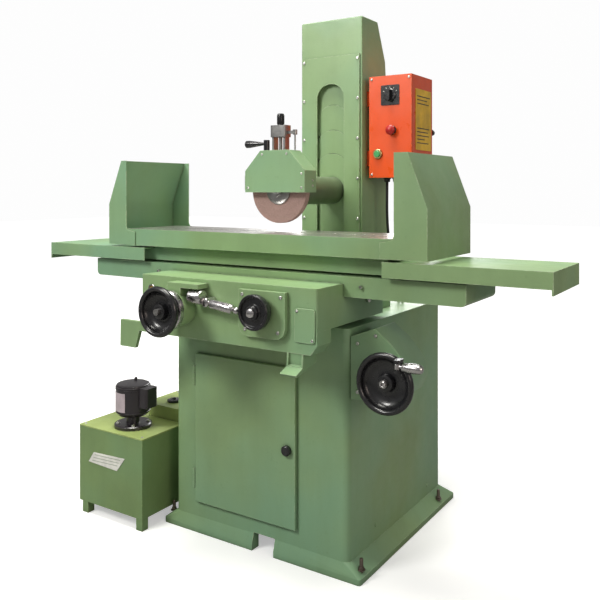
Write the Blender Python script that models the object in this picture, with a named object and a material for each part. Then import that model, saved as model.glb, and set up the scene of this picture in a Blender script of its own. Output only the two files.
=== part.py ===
"""Surface grinder: pedestal, cross saddle, table with splash guards, column with lifting head, coolant tank.

Metres, +Z up, the operator stands at -Y. Everything is laid out with X = 0 at the pedestal's middle,
Y = 0 at its front face and Z = 0 on the floor; the last step moves Y = 0 to the middle of the whole machine.
"""
import math

import bmesh
import bpy
from mathutils import Matrix, Vector

for old in list(bpy.data.objects):
    bpy.data.objects.remove(old, do_unlink=True)

# ---------------------------------------------------------------- driving dimensions
GAP = 0.0003                      # clearance between separate pieces
RUN = 0.00025                     # radial clearance of a turning shaft

PED_X, PED_Y, PED_Z = 0.31, 0.64, 0.675       # pedestal half width, depth, height
FOOT_X, FOOT_OUT, FOOT_Z = 0.350, 0.009, 0.016
FOOT_BACK, FOOT_FLARE = 0.668, 0.030           # rear edge of the foot, height of the flare above it
WALL = 0.025
DOOR = (-0.2205, 0.1455, 0.095, 0.55)         # x0, x1, z0, z1
DOOR_Y0, DOOR_Y1, DOOR_LAP = -0.012, -0.001, 0.015
LOCK_X, LOCK_Z = 0.120, 0.3175
RAIL_X, RAIL_HALF, RAIL_Z = 0.20, 0.03, 0.70  # cross ways on the pedestal

SADDLE_X, SADDLE_FRONT, SADDLE_BACK = 0.305, -0.153, 0.22
SADDLE_Z0, SADDLE_Z1 = 0.69, 0.80
SLAB_X, SLAB_Y0, SLAB_Y1, SLAB_Z0, SLAB_Z1 = 0.645, -0.02, 0.20, 0.765, 0.82
TABLE = (-0.484, 0.4625, -0.04, 0.19, 0.872, 0.925)
RAIL = (-0.84, 0.84, 0.0, 0.17, 0.8265, 0.861)
WING_X, WING_Z0, WING_Z1 = 0.855, 0.8255, 0.866
GUARD_Y0, GUARD_Y1, SHEET = -0.0436, 0.26, 0.003

MIDDLE_Y = 0.203                  # from the pedestal's front face back to the machine's middle
COL_X, COL_Y = 0.12, 0.435
COVER_Y = 0.4415                  # front of the sliding slot covers, just behind the column's front wall
SLOT_HALF, SLOT_Z0, SLOT_Z1 = 0.053, 0.90, 1.41
AXIS_Y_Z = 1.048                  # spindle height
WHEEL_R, WHEEL_Y0, WHEEL_Y1 = 0.100, 0.1212, 0.1410
HOUSING_R = 0.046

CRANK_X, CRANK_Z, CRANK_R = 0.438, 0.557, 0.080   # elevating handwheel
HANDLE = (0.485, -0.0665, 0.612)  # upright hinge pin of its folding handle
LIFT_Y = 0.582                    # lifting screw's axis
TRAV_X, TRAV_Z = -0.144, 0.716    # table handwheel
MODULE, RACK_Z, IDLER_TEETH = 0.0025, 0.816, 32
LEVER_Y = -0.182                  # table lock lever
FEED_X, FEED_Z = 0.142, 0.733     # cross-feed screw

BOX = (0.140, 0.292, 0.447, 0.619, 1.09, 1.424)
TANK = (-0.640, -0.357, -0.10, 0.37, 0.036, 0.279)
HOOD = (-0.515, -0.375, 0.090, 0.200, 0.325)  # raised box on the tank lid
PUMP_X, PUMP_Y = -0.480, -0.0176

# ---------------------------------------------------------------- materials
PAINT = {
    "green": ((0.21, 0.36, 0.17, 1), 0.0, 0.45),
    "dark_green": ((0.07, 0.14, 0.09, 1), 0.0, 0.4),
    "tank_green": ((0.19, 0.32, 0.10, 1), 0.0, 0.5),
    "black": ((0.012, 0.012, 0.014, 1), 0.0, 0.3),
    "steel": ((0.55, 0.55, 0.54, 1), 1.0, 0.35),
    "chrome": ((0.75, 0.75, 0.76, 1), 1.0, 0.12),
    "bronze": ((0.55, 0.36, 0.14, 1), 1.0, 0.4),
    "iron": ((0.20, 0.20, 0.20, 1), 0.6, 0.6),
    "orange": ((0.83, 0.10, 0.02, 1), 0.0, 0.4),
    "red": ((0.65, 0.02, 0.02, 1), 0.0, 0.3),
    "button_green": ((0.02, 0.32, 0.10, 1), 0.0, 0.3),
    "abrasive": ((0.40, 0.23, 0.21, 1), 0.0, 0.9),
    "rubber": ((0.015, 0.015, 0.015, 1), 0.0, 0.7),
}


def paint(obj, colour):
    rgba, metal, rough = PAINT[colour]
    mat = bpy.data.materials.new(obj.name + "_mat")
    mat.use_nodes = True
    bsdf = mat.node_tree.nodes["Principled BSDF"]
    bsdf.inputs["Base Color"].default_value = rgba
    bsdf.inputs["Metallic"].default_value = metal
    bsdf.inputs["Roughness"].default_value = rough
    obj.data.materials.clear()
    obj.data.materials.append(mat)
    return obj


# ---------------------------------------------------------------- solid builders
def solid(name, verts, faces):
    mesh = bpy.data.meshes.new(name)
    bm = bmesh.new()
    made = [bm.verts.new(v) for v in verts]
    for f in faces:
        bm.faces.new([made[i] for i in f])
    bmesh.ops.recalc_face_normals(bm, faces=bm.faces)
    bm.to_mesh(mesh)
    bm.free()
    obj = bpy.data.objects.new(name, mesh)
    bpy.context.scene.collection.objects.link(obj)
    return obj


def swap(axis, a, b, h):
    """A point whose section coordinates are a, b and whose height along the axis is h."""
    return {"X": (h, a, b), "Y": (a, h, b), "Z": (a, b, h)}[axis]


def loft(name, axis, rings):
    """Rings are (height, outline); every outline has the same number of points."""
    verts, faces = [], []
    for h, outline in rings:
        verts += [swap(axis, a, b, h) for a, b in outline]
    n = len(rings[0][1])
    for r in range(len(rings) - 1):
        for i in range(n):
            j = (i + 1) % n
            faces.append((r * n + i, r * n + j, r * n + n + j, r * n + n + i))
    faces.append(tuple(range(n)))
    faces.append(tuple(range((len(rings) - 1) * n, len(rings) * n)))
    return solid(name, verts, faces)


def prism(name, axis, outline, h0, h1):
    return loft(name, axis, [(h0, outline), (h1, outline)])


def rect(a0, a1, b0, b1, r=0.0, n=4, corners=(1, 1, 1, 1)):
    """Rectangle outline; corners rounded in the order low-low, high-low, high-high, low-high."""
    out = []
    spots = [(a0, b0, 1, 1, 180), (a1, b0, -1, 1, 270), (a1, b1, -1, -1, 0), (a0, b1, 1, -1, 90)]
    for (a, b, sa, sb, start), on in zip(spots, corners):
        if r == 0 or not on:
            out.append((a, b))
            continue
        for k in range(n + 1):
            t = math.radians(start + 90 * k / n)
            out.append((a + sa * r + r * math.cos(t), b + sb * r + r * math.sin(t)))
    return out


def circle(a, b, r, n=36, turn=0.5):
    return [(a + r * math.cos(2 * math.pi * (i + turn) / n), b + r * math.sin(2 * math.pi * (i + turn) / n))
            for i in range(n)]


def block(name, x0, x1, y0, y1, z0, z1, r=0.0):
    return prism(name, "Z", rect(x0, x1, y0, y1, r), z0, z1)


def rod(name, axis, a, b, r, h0, h1, n=24):
    return prism(name, axis, circle(a, b, r, n), h0, h1)


def turned(name, axis, a, b, profile, n=24):
    """Closed profile of (radius, height) turned about the axis; radius 0 points sit on the axis."""
    verts, faces, rows = [], [], []
    for r, h in profile:
        if r == 0:
            verts.append(swap(axis, a, b, h))
            rows.append([len(verts) - 1] * n)
        else:
            rows.append(list(range(len(verts), len(verts) + n)))
            verts += [swap(axis, p, q, h) for p, q in circle(a, b, r, n)]
    for k in range(len(rows)):
        lo, hi = rows[k], rows[(k + 1) % len(rows)]
        if profile[k][0] == 0 and profile[(k + 1) % len(rows)][0] == 0:
            continue
        for i in range(n):
            j = (i + 1) % n
            f = []
            for v in (lo[i], lo[j], hi[j], hi[i]):
                if v not in f:
                    f.append(v)
            if len(f) > 2:
                faces.append(tuple(f))
    return solid(name, verts, faces)


def tube(name, axis, a, b, r_in, r_out, h0, h1, n=24):
    return turned(name, axis, a, b, [(r_in, h0), (r_out, h0), (r_out, h1), (r_in, h1)], n)


def boolean(target, tools, operation):
    for tool in tools:
        mod = target.modifiers.new(operation.lower(), "BOOLEAN")
        mod.object = tool
        mod.operation = operation
        mod.solver = "EXACT"
        deps = bpy.context.evaluated_depsgraph_get()
        mesh = bpy.data.meshes.new_from_object(target.evaluated_get(deps))
        target.modifiers.clear()
        target.data = mesh
        bpy.data.objects.remove(tool, do_unlink=True)
    return target


def cut(target, *tools):
    return boolean(target, tools, "DIFFERENCE")


def join(target, *tools):
    return boolean(target, tools, "UNION")


def soften(obj, width, angle=40, segments=2):
    """Round the edges that are sharper than the angle."""
    mod = obj.modifiers.new("round", "BEVEL")
    mod.width = width
    mod.segments = segments
    mod.limit_method = "ANGLE"
    mod.angle_limit = math.radians(angle)
    deps = bpy.context.evaluated_depsgraph_get()
    mesh = bpy.data.meshes.new_from_object(obj.evaluated_get(deps))
    obj.modifiers.clear()
    obj.data = mesh
    return obj


def set_origin(obj, x, y, z):
    obj.data.transform(Matrix.Translation((-x, -y, -z)))
    obj.location = (x, y, z)
    return obj


def gear_outline(a, b, teeth, module, phase, height=1.3, depth=2.2, tip=0.26, root=0.52):
    """Toothed outline; phase is the angle of one tooth's middle, in radians."""
    pitch_r = teeth * module / 2
    out = []
    step = 2 * math.pi / teeth
    for i in range(teeth):
        mid = phase + i * step
        for share, r in ((-root, pitch_r - depth * module / 2), (-tip, pitch_r + height * module / 2),
                         (tip, pitch_r + height * module / 2), (root, pitch_r - depth * module / 2)):
            t = mid + share * step / 2
            out.append((a + r * math.cos(t), b + r * math.sin(t)))
    return out


def handwheel(name, axis_x, axis_z, y_front, radius, y_back, bore):
    """Solid dished wheel: a thick rim, a bowl and a sunken hub; it faces the operator."""
    front = [(bore, 0.010), (0.019, 0.010), (0.022, 0.013), (0.023, 0.026), (0.029, 0.028), (radius - 0.022, 0.018),
             (radius - 0.014, 0.004), (radius - 0.010, 0.0)]
    back = [(radius - 0.003, 0.0), (radius, 0.004), (radius, 0.018), (radius - 0.003, 0.022), (radius - 0.010, 0.023),
            (radius - 0.020, 0.026), (0.033, 0.036), (0.022, 0.037)]
    profile = [(r, y_front + y) for r, y in front + back] + [(0.022, y_back), (bore, y_back)]
    return turned(name, "Y", axis_x, axis_z, profile, 36)


def folding_handle(wheel, name, x, y, z, y_rim, reach, radius):
    """Fork on the wheel's rim, and a grip that swings about the fork's upright pin; it rests folded towards +X."""
    pin, knuckle, cheek, ear = 0.0035, 0.0072, 0.0078, 0.0165
    for s in (-1, 1):
        lo, hi = sorted((z + s * cheek, z + s * ear))
        join(wheel, block("ear", x - 0.008, x + 0.008, y - 0.008, y_rim + 0.014, lo, hi))
    cut(wheel, rod("pin_bore", "Z", x, y, pin + RUN, z - 0.03, z + 0.03, 16))
    grip = turned(name, "X", y, z,
                  [(0, x), (0.0045, x), (0.0045, x + 0.013), (0.0095, x + 0.0135), (radius * 0.88, x + 0.018),
                   (radius, x + 0.030), (radius, x + reach - 0.010), (radius * 0.8, x + reach - 0.002),
                   (radius * 0.5, x + reach), (0, x + reach)], 24)
    join(grip, rod("knuckle", "Z", x, y, 0.0078, z - knuckle, z + knuckle, 24),
         rod("pin", "Z", x, y, pin, z - ear + 0.0005, z + ear - 0.0005, 16))
    return set_origin(grip, x, y, z)


# ---------------------------------------------------------------- pedestal, door and lock
def build_pedestal():
    foot = rect(-FOOT_X, FOOT_X, -FOOT_OUT, FOOT_BACK, 0.008)
    body = rect(-PED_X, PED_X, 0, PED_Y, 0.02)
    ped = loft("pedestal", "Z", [(0, foot), (FOOT_Z, foot), (FOOT_Z + FOOT_FLARE, body), (PED_Z, body)])
    cut(ped, block("hollow", -PED_X + WALL, PED_X - WALL, WALL, PED_Y - WALL, -0.01, PED_Z - 0.03))
    x0, x1, z0, z1 = DOOR
    cut(ped, block("doorway", x0 + 0.02, x1 - DOOR_LAP, -0.06, 0.06, z0 + 0.02, z1 - 0.02),
        block("notch", -0.006, 0.069, -0.06, 0.03, -0.01, 0.050),
        block("belt_port", PED_X - 0.05, PED_X + 0.02, 0.052, 0.095, 0.522, 0.614),
        rod("screw_port", "Z", 0, LIFT_Y, 0.012, PED_Z - 0.06, PED_Z + 0.02))
    vee = [(-RAIL_X - RAIL_HALF, PED_Z - 0.002), (-RAIL_X + RAIL_HALF, PED_Z - 0.002), (-RAIL_X, RAIL_Z)]
    flat = rect(RAIL_X - RAIL_HALF, RAIL_X + RAIL_HALF, PED_Z - 0.002, RAIL_Z - GAP)
    join(ped, prism("vee", "Y", vee, 0.003, 0.42), prism("flat", "Y", flat, 0.003, 0.42),
         block("nut_bracket", FEED_X - 0.020, FEED_X + 0.020, 0.02, 0.06, PED_Z - 0.004, FEED_Z + 0.0215))
    cut(ped, rod("nut_seat", "Y", FEED_X, FEED_Z, 0.0150 + GAP, 0.01, 0.07))
    paint(ped, "green")

    door = block("cabinet_door", x0, x1, DOOR_Y0, DOOR_Y1, z0, z1)
    relief = DOOR_Y0 + 0.005
    cut(door, rod("knob_hole", "Y", LOCK_X, LOCK_Z, 0.0053, -0.03, 0.01, 24),
        block("relief", x0 + 0.012, x1 - 0.012, relief, 0.01, z0 + 0.012, 0.29),
        block("relief2", x0 + 0.012, x1 - 0.012, relief, 0.01, 0.345, z1 - 0.012))
    paint(soften(door, 0.002, 60, 1), "green")

    face = DOOR_Y0 - 0.0005
    lock = turned("door_lock", "Y", LOCK_X, LOCK_Z,
                  [(0, face - 0.0130), (0.0110, face - 0.0130), (0.0145, face - 0.0100), (0.0145, face), (0.005, face),
                   (0.005, 0.031), (0, 0.031)], 24)
    join(lock, block("tongue", LOCK_X - 0.006, LOCK_X + 0.006, 0.0275, 0.0315, LOCK_Z - 0.005, LOCK_Z + 0.0375))
    paint(set_origin(lock, LOCK_X, 0, LOCK_Z), "black")


def build_elevation():
    shape = [(PED_X + GAP, 0.485), (0.440, 0.498), (0.470, 0.518), (0.482, 0.552), (0.478, 0.588), (0.458, 0.618),
             (0.428, 0.650), (0.384, 0.683), (PED_X + GAP, 0.655)]
    room = [(PED_X - 0.01, 0.500), (0.436, 0.509), (0.462, 0.526), (0.472, 0.554), (0.468, 0.584), (0.449, 0.611),
            (0.421, 0.641), (0.383, 0.670), (PED_X - 0.01, 0.643)]
    case = prism("elevation_housing", "Y", shape, 0.01, 0.13)
    cut(case, prism("room", "Y", room, 0.022, 0.118))
    cut(case, rod("front_bore", "Y", CRANK_X, CRANK_Z, 0.010 + RUN, -0.01, 0.07),
        rod("back_bore", "Y", CRANK_X, CRANK_Z, 0.010 + RUN, 0.10, 0.15))
    paint(case, "green")

    front = turned("elevation_shaft", "Y", CRANK_X, CRANK_Z,
                   [(0, -0.052), (0.010, -0.052), (0.010, 0.0585), (0.026, 0.0585), (0.026, 0.0605), (0.0235, 0.0605),
                    (0.0235, 0.0845), (0.026, 0.0845), (0.026, 0.0865), (0.010, 0.0865), (0.010, 0.126), (0, 0.126)])
    paint(set_origin(front, CRANK_X, 0, CRANK_Z), "steel")

    wheel = handwheel("elevation_handwheel", CRANK_X, CRANK_Z, -0.052, CRANK_R, 0.0095,
                      0.010 + GAP / 2)
    x, y, z = HANDLE
    paint(folding_handle(wheel, "elevation_handle", x, y, z, -0.052, 0.068, 0.0125), "chrome")
    paint(set_origin(wheel, CRANK_X, 0, CRANK_Z), "black")

    belt_r = 0.0240
    outer, inner = [], []
    for r, out in ((belt_r + 0.004, outer), (belt_r, inner)):
        for k in range(17):
            t = math.radians(90 + 180 * k / 16)
            out.append((r * math.cos(t), CRANK_Z + r * math.sin(t)))
        for k in range(17):
            t = math.radians(-90 + 180 * k / 16)
            out.append((CRANK_X + r * math.cos(t), CRANK_Z + r * math.sin(t)))
    belt = cut(prism("elevation_belt", "Y", outer, 0.0615, 0.0835), prism("inside", "Y", inner, 0.05, 0.09))
    paint(belt, "rubber")

    drive = turned("elevation_drive_shaft", "Y", 0, CRANK_Z,
                   [(0, 0.032), (0.010, 0.032), (0.010, 0.0585), (0.026, 0.0585), (0.026, 0.0605), (0.0235, 0.0605),
                    (0.0235, 0.0845), (0.026, 0.0845), (0.026, 0.0865), (0.010, 0.0865), (0.010, 0.535),
                    (0.018, 0.535), (0.0310, LIFT_Y - 0.0320), (0.0210, LIFT_Y - 0.0220), (0, LIFT_Y - 0.0220)], 24)
    paint(set_origin(drive, 0, 0, CRANK_Z), "steel")

    hanger = block("drive_shaft_hanger", -0.028, 0.028, 0.12, 0.49, 0.62, PED_Z - 0.03 - GAP)
    for y in (0.12, 0.46):
        join(hanger, block("leg", -0.028, 0.028, y + 0.0001, y + 0.03, CRANK_Z - 0.028, 0.63))
    cut(hanger, rod("bore", "Y", 0, CRANK_Z, 0.010 + RUN, 0.1, 0.5, 24))
    paint(hanger, "iron")

    screw = turned("lift_screw", "Z", 0, LIFT_Y,
                   [(0, CRANK_Z + 0.0220), (0.0210, CRANK_Z + 0.0220), (0.0310, CRANK_Z + 0.0320),
                    (0.018, CRANK_Z + 0.045), (0.011, CRANK_Z + 0.045), (0.011, 0.690), (0.008, 0.700),
                    (0.008, 1.404), (0, 1.404)], 24)
    paint(set_origin(screw, 0, LIFT_Y, 0), "steel")


# ---------------------------------------------------------------- column and lifting head
def build_column():
    side = [(COL_Y, PED_Z + GAP), (0.635, PED_Z + GAP), (0.635, 1.25), (0.61, 1.50), (0.55, 1.63), (COL_Y, 1.63)]
    column = soften(prism("column", "X", side, -COL_X, COL_X), 0.005)
    back_wall, top = 0.605, 1.60
    hollow = [(COVER_Y - 0.0005, 0.695), (back_wall, 0.695), (back_wall, 1.42), (0.56, top), (COVER_Y - 0.0005, top)]
    cut(column, prism("hollow", "X", hollow, -0.100, 0.100))
    cut(column, block("slot", -0.056, 0.056, 0.42, 0.47, 0.89, 1.43),
        rod("screw_port", "Z", 0, LIFT_Y, 0.011 + RUN, 0.66, 0.71, 24))
    for s in (-1, 1):
        lo, hi = sorted((s * 0.0885, s * 0.101))
        join(column, block("way", lo, hi, 0.50, 0.53, 0.72, 1.55))
    join(column, block("top_bearing", -0.018, 0.018, 0.5685, 0.606, 1.385, 1.400))
    cut(column, rod("top_bore", "Z", 0, LIFT_Y, 0.008 + RUN, 1.37, 1.41, 24))
    paint(column, "green")

    def arched(name, half, z0, z1, y0, y1, r):
        return prism(name, "Y", rect(-half, half, z0, z1, r, 6, (0, 0, 1, 1)), y0, y1)

    plate = block("column_face_plate", -0.112, 0.112, 0.4295, COL_Y - GAP, 0.86, 1.504)
    cut(plate, arched("slot", SLOT_HALF, SLOT_Z0, SLOT_Z1, 0.40, 0.45, 0.05))
    paint(plate, "green")

    y0, y1, y2, y3, y4 = (COVER_Y + step for step in (0, 0.0025, 0.0050, 0.0067, 0.0085))
    sheet = 0.0018
    shield = arched("slot_cover_head", 0.062, 0.80, 1.1735, y0, y0 + sheet, 0.058)
    cut(shield, rod("housing_hole", "Y", 0, AXIS_Y_Z, HOUSING_R + GAP, 0.43, 0.47, 40))
    paint(shield, "green")
    paint(arched("slot_cover_upper_1", 0.062, 1.155, 1.254, y1, y1 + sheet, 0.058), "green")
    upper = arched("slot_cover_upper_2", 0.062, 1.235, 1.340, y2, y2 + sheet, 0.058)
    join(upper, arched("step", 0.062, 1.285, 1.425, y3, y4, 0.058))
    paint(upper, "green")
    paint(block("slot_cover_lower", -0.062, 0.062, y1, y1 + sheet, 0.72, 0.96), "green")

    head = block("head_carriage", -0.0965, 0.0965, 0.467, 0.562, 0.952, 1.150)
    for s in (-1, 1):
        lo, hi = sorted((s * 0.0880, s * 0.11))
        cut(head, block("way_groove", lo, hi, 0.4996, 0.5304, 0.93, 1.17))
    cut(head, rod("housing_seat", "Y", 0, AXIS_Y_Z, HOUSING_R + GAP, 0.45, 0.50, 40),
        rod("motor_bore", "Y", 0, AXIS_Y_Z, 0.067, 0.4805, 0.60, 40))
    paint(head, "iron")
    nut = block("lift_nut", -0.024, 0.024, 0.562 + GAP, 0.600, 0.956, 0.986)
    cut(nut, rod("thread", "Z", 0, LIFT_Y, 0.008 + RUN, 0.94, 1.0, 24))
    paint(nut, "bronze")

    housing = turned("spindle_housing", "Y", 0, AXIS_Y_Z,
                     [(0.0245, 0.1612), (HOUSING_R - 0.004, 0.1612), (HOUSING_R, 0.1652), (HOUSING_R, 0.4792),
                      (0.0280, 0.4792), (0.0280, 0.174), (0.0245, 0.174)], 36)
    paint(housing, "dark_green")
    for name, y in (("front_bearing", 0.176), ("rear_bearing", 0.452)):
        paint(tube(name, "Y", 0, AXIS_Y_Z, 0.0185, 0.0278, y, y + 0.022, 24), "steel")
    paint(tube("motor_stator", "Y", 0, AXIS_Y_Z, 0.0370, 0.0668, 0.486, 0.548, 24), "iron")

    spindle = turned("spindle_shaft", "Y", 0, AXIS_Y_Z,
                     [(0, 0.099), (0.0120, 0.099), (0.0120, 0.1502), (0.0180, 0.1525), (0.0183, 0.480), (0.0183, 0.484),
                      (0.0362, 0.484), (0.0362, 0.546), (0.010, 0.546), (0.010, 0.556), (0, 0.556)], 24)
    paint(set_origin(spindle, 0, 0, AXIS_Y_Z), "steel")
    rear = turned("wheel_flange_rear", "Y", 0, AXIS_Y_Z,
                  [(0.0121, 0.1215), (0.0160, 0.1215), (0.0160, WHEEL_Y1 + GAP), (0.0420, WHEEL_Y1 + GAP),
                   (0.0430, 0.1430), (0.0380, 0.1495), (0.0121, 0.1495)], 32)
    paint(set_origin(rear, 0, 0, AXIS_Y_Z), "steel")
    wheel = tube("grinding_wheel", "Y", 0, AXIS_Y_Z, 0.0163, WHEEL_R, WHEEL_Y0, WHEEL_Y1, 56)
    paint(set_origin(wheel, 0, 0, AXIS_Y_Z), "abrasive")
    front = turned("wheel_flange_front", "Y", 0, AXIS_Y_Z,
                   [(0.0121, 0.1125), (0.0380, 0.1125), (0.0430, 0.1175), (0.0420, WHEEL_Y0 - GAP),
                    (0.0121, WHEEL_Y0 - GAP)], 32)
    paint(set_origin(front, 0, 0, AXIS_Y_Z), "steel")
    spindle_nut = prism("wheel_nut", "Y", circle(0, AXIS_Y_Z, 0.0200, 6), 0.1035, 0.1122)
    cut(spindle_nut, rod("thread", "Y", 0, AXIS_Y_Z, 0.0122, 0.09, 0.12, 32))
    paint(set_origin(spindle_nut, 0, 0, AXIS_Y_Z), "steel")


GUARD_TOP = 1.170


def guard_outline(inset, low):
    half, neck, shoulder, top = 0.1095 - inset, 0.052 - inset * 0.6, 1.108 - inset * 0.5, GUARD_TOP - inset
    return [(-half, low), (half, low), (half, shoulder), (neck, top), (-neck, top), (-half, shoulder)]


def build_wheel_guard():
    guard = prism("wheel_guard", "Y", guard_outline(0, 1.042), 0.0985, 0.1608)
    cut(guard, prism("room", "Y", guard_outline(0.003, 1.0), 0.09, 0.1575),
        rod("neck", "Y", 0, AXIS_Y_Z, 0.0200, 0.15, 0.17),
        block("neck_way", -0.0200, 0.0200, 0.15, 0.17, 1.0, AXIS_Y_Z),
        rod("dresser_port", "Z", 0, 0.131, 0.0065, 1.15, 1.18, 24))
    paint(guard, "green")
    cover = prism("guard_cover", "Y", guard_outline(0, 1.042), 0.0950, 0.0982)
    paint(set_origin(cover, -0.1095, 0.0985, 1.1), "green")

    y = 0.131
    bridge = block("dresser_bridge", -0.027, 0.027, 0.113, 0.149, 1.211, 1.247, 0.004)
    for s in (-1, 1):
        lo, hi = sorted((s * 0.017, s * 0.024))
        join(bridge, block("leg", lo, hi, 0.119, 0.143, GUARD_TOP + GAP, 1.22))
    join(bridge, block("stop_arm", 0.02, 0.0525, 0.127, 0.135, 1.220, 1.229),
         rod("stop_collar", "Z", 0.0525, y, 0.007, 1.217, 1.232, 20),
         rod("stop_rod", "Z", 0.0525, y, 0.0022, GUARD_TOP + GAP, 1.225, 12))
    cut(bridge, rod("ram_bore", "Z", 0, y, 0.0055 + RUN, 1.2, 1.26, 24))
    paint(bridge, "chrome")
    ram = turned("dresser_ram", "Z", 0, y,
                 [(0, 1.158), (0.0025, 1.161), (0.0055, 1.164), (0.0055, 1.2468), (0.0032, 1.2468), (0.0032, 1.20),
                  (0, 1.20)], 24)
    paint(set_origin(ram, 0, y, 0), "steel")
    knob = turned("dresser_knob", "Z", 0, y,
                  [(0, 1.213), (0.0030, 1.213), (0.0030, 1.2475), (0.0095, 1.2475), (0.0105, 1.2495), (0.0105, 1.280),
                   (0.0090, 1.283), (0, 1.283)], 24)
    paint(set_origin(knob, 0, y, 0), "black")
    lever = turned("dresser_lever", "X", y, 1.193,
                   [(0, -0.134), (0.006, -0.134), (0.0115, -0.129), (0.0115, -0.118), (0.0050, -0.066), (0.0035, -0.062),
                    (0.0035, -0.050), (0, -0.050)], 20)
    join(lever, rod("hub", "Z", -0.0525, y, 0.0095, GUARD_TOP + GAP, 1.204, 24))
    paint(set_origin(lever, -0.0525, y, 1.193), "black")


# ---------------------------------------------------------------- saddle and its controls
def build_saddle():
    saddle = block("saddle", -SADDLE_X, SADDLE_X, SADDLE_FRONT, SADDLE_BACK, SADDLE_Z0, SADDLE_Z1, 0.006)
    slab = prism("slab", "Y", rect(-SLAB_X, SLAB_X, SLAB_Z0, SLAB_Z1, 0.014, 4, (1, 1, 0, 0)), SLAB_Y0, SLAB_Y1)
    apron = prism("apron", "Y", [(-0.3045, 0.630), (0.285, 0.630), (0.3045, 0.655), (0.3045, 0.70), (-0.3045, 0.70)],
                  SADDLE_FRONT + 0.0004, -0.085)
    join(saddle, slab, apron,
         prism("vee", "X", [(0.013, SLAB_Z1 - 0.002), (0.047, SLAB_Z1 - 0.002), (0.030, 0.8365)],
               -SLAB_X + 0.004, SLAB_X - 0.004),
         block("flat", -SLAB_X + 0.004, SLAB_X - 0.004, 0.13, 0.16, SLAB_Z1 - 0.003, 0.8262),
         prism("lug", "Y", [(-0.399, 0.577), (-0.335, 0.577), (-0.318, 0.630), (-0.300, 0.630), (-0.300, 0.657), (-0.397, 0.657)],
               -0.150, -0.138),
         rod("traverse_boss", "Y", TRAV_X, TRAV_Z, 0.050, -0.2045, -0.14, 48),
         block("boss_web", TRAV_X - 0.020, TRAV_X + 0.030, -0.1960, -0.14, 0.735, 0.782),
         block("boss_ledge", TRAV_X - 0.020, -0.0500, -0.1960, -0.14, 0.7775, 0.7905, 0.004),
         prism("feed_boss", "Y", rect(FEED_X - 0.075, FEED_X + 0.075, 0.662, 0.785, 0.03, 4, (1, 1, 0, 0)), -0.168, -0.14))
    vee = [(-RAIL_X - RAIL_HALF - 0.0265, PED_Z - 0.022), (-RAIL_X + RAIL_HALF + 0.0265, PED_Z - 0.022),
           (-RAIL_X, RAIL_Z + 0.0006)]
    cut(saddle, prism("vee_groove", "Y", vee, -0.075, 0.3),
        prism("flat_groove", "Y", rect(0.1695, 0.2305, 0.66, RAIL_Z), -0.075, 0.3),
        block("nut_way", FEED_X - 0.040, FEED_X + 0.038, -0.07, 0.3, 0.66, FEED_Z + 0.0275),
        block("rack_way", -0.7, 0.7, 0.079, 0.105, 0.811, 0.85),
        block("gear_room", TRAV_X - 0.0435, TRAV_X + 0.0435, 0.0795, 0.1045, 0.66, 0.83))
    idler_z = RACK_Z - 0.040
    cut(saddle, rod("handwheel_bore", "Y", TRAV_X, TRAV_Z, 0.009 + RUN, -0.3, 0.09),
        rod("idler_bore", "Y", TRAV_X, idler_z, 0.008 + RUN, 0.055, 0.125),
        rod("feed_bore", "Y", FEED_X, FEED_Z, 0.008 + RUN, -0.2, -0.05))
    paint(saddle, "green")

    lip = [(-0.155, 0.6297), (-0.092, 0.6297), (-0.092, 0.600), (-0.185, 0.578), (-0.190, 0.584), (-0.158, 0.596)]
    chute = prism("drain_chute", "X", lip, 0.215, 0.265)
    cut(chute, prism("trough", "X", [(-0.20, 0.5865), (-0.150, 0.601), (-0.150, 0.64), (-0.20, 0.64)], 0.220, 0.260))
    paint(chute, "green")

    shaft = turned("traverse_shaft", "Y", TRAV_X, TRAV_Z,
                   [(0, -0.262), (0.009, -0.262), (0.009, 0.0815), (0.015, 0.0815), (0.015, 0.1025), (0, 0.1025)])
    pinion = prism("pinion", "Y", gear_outline(TRAV_X, TRAV_Z, 16, MODULE, math.pi / 2), 0.082, 0.102)
    join(shaft, pinion)
    paint(set_origin(shaft, TRAV_X, 0, TRAV_Z), "steel")
    wheel = handwheel("traverse_handwheel", TRAV_X, TRAV_Z, -0.262, 0.070, -0.206, 0.009 + GAP / 2)
    paint(set_origin(wheel, TRAV_X, 0, TRAV_Z), "black")
    teeth = IDLER_TEETH
    first_tooth = -math.pi / 2 + math.pi / teeth
    idler = prism("idler_gear", "Y", gear_outline(TRAV_X, idler_z, teeth, MODULE, first_tooth), 0.082, 0.102)
    join(idler, rod("pin", "Y", TRAV_X, idler_z, 0.008, 0.058, 0.122))
    paint(set_origin(idler, TRAV_X, 0, idler_z), "steel")

    feed = turned("crossfeed_screw", "Y", FEED_X, FEED_Z,
                  [(0, -0.214), (0.008, -0.214), (0.008, 0.190), (0, 0.190)])
    paint(set_origin(feed, FEED_X, 0, FEED_Z), "steel")
    dial = turned("crossfeed_handwheel", "Y", FEED_X, FEED_Z,
                  [(0.008 + GAP / 2, -0.214), (0.016, -0.214), (0.019, -0.210), (0.019, -0.203), (0.037, -0.201),
                   (0.040, -0.208), (0.046, -0.208), (0.047, -0.205), (0.047, -0.190), (0.045, -0.188),
                   (0.034, -0.188), (0.034, -0.1695), (0.008 + GAP / 2, -0.1695)], 28)
    paint(set_origin(dial, FEED_X, 0, FEED_Z), "black")
    paint(tube("crossfeed_nut", "Y", FEED_X, FEED_Z, 0.008 + RUN, 0.0150, 0.018, 0.062), "bronze")

    sleeve = turned("lever_sleeve", "X", LEVER_Y, 0.7545,
                    [(0.0, -0.0880), (0.0180, -0.0880), (0.0200, -0.0860), (0.0200, -0.0460), (0.0185, -0.0436),
                     (0.0, -0.0436)], 32)
    join(sleeve, block("foot", -0.075, -0.055, LEVER_Y, SADDLE_FRONT - GAP, 0.7465, 0.7625))
    paint(sleeve, "chrome")

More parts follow.
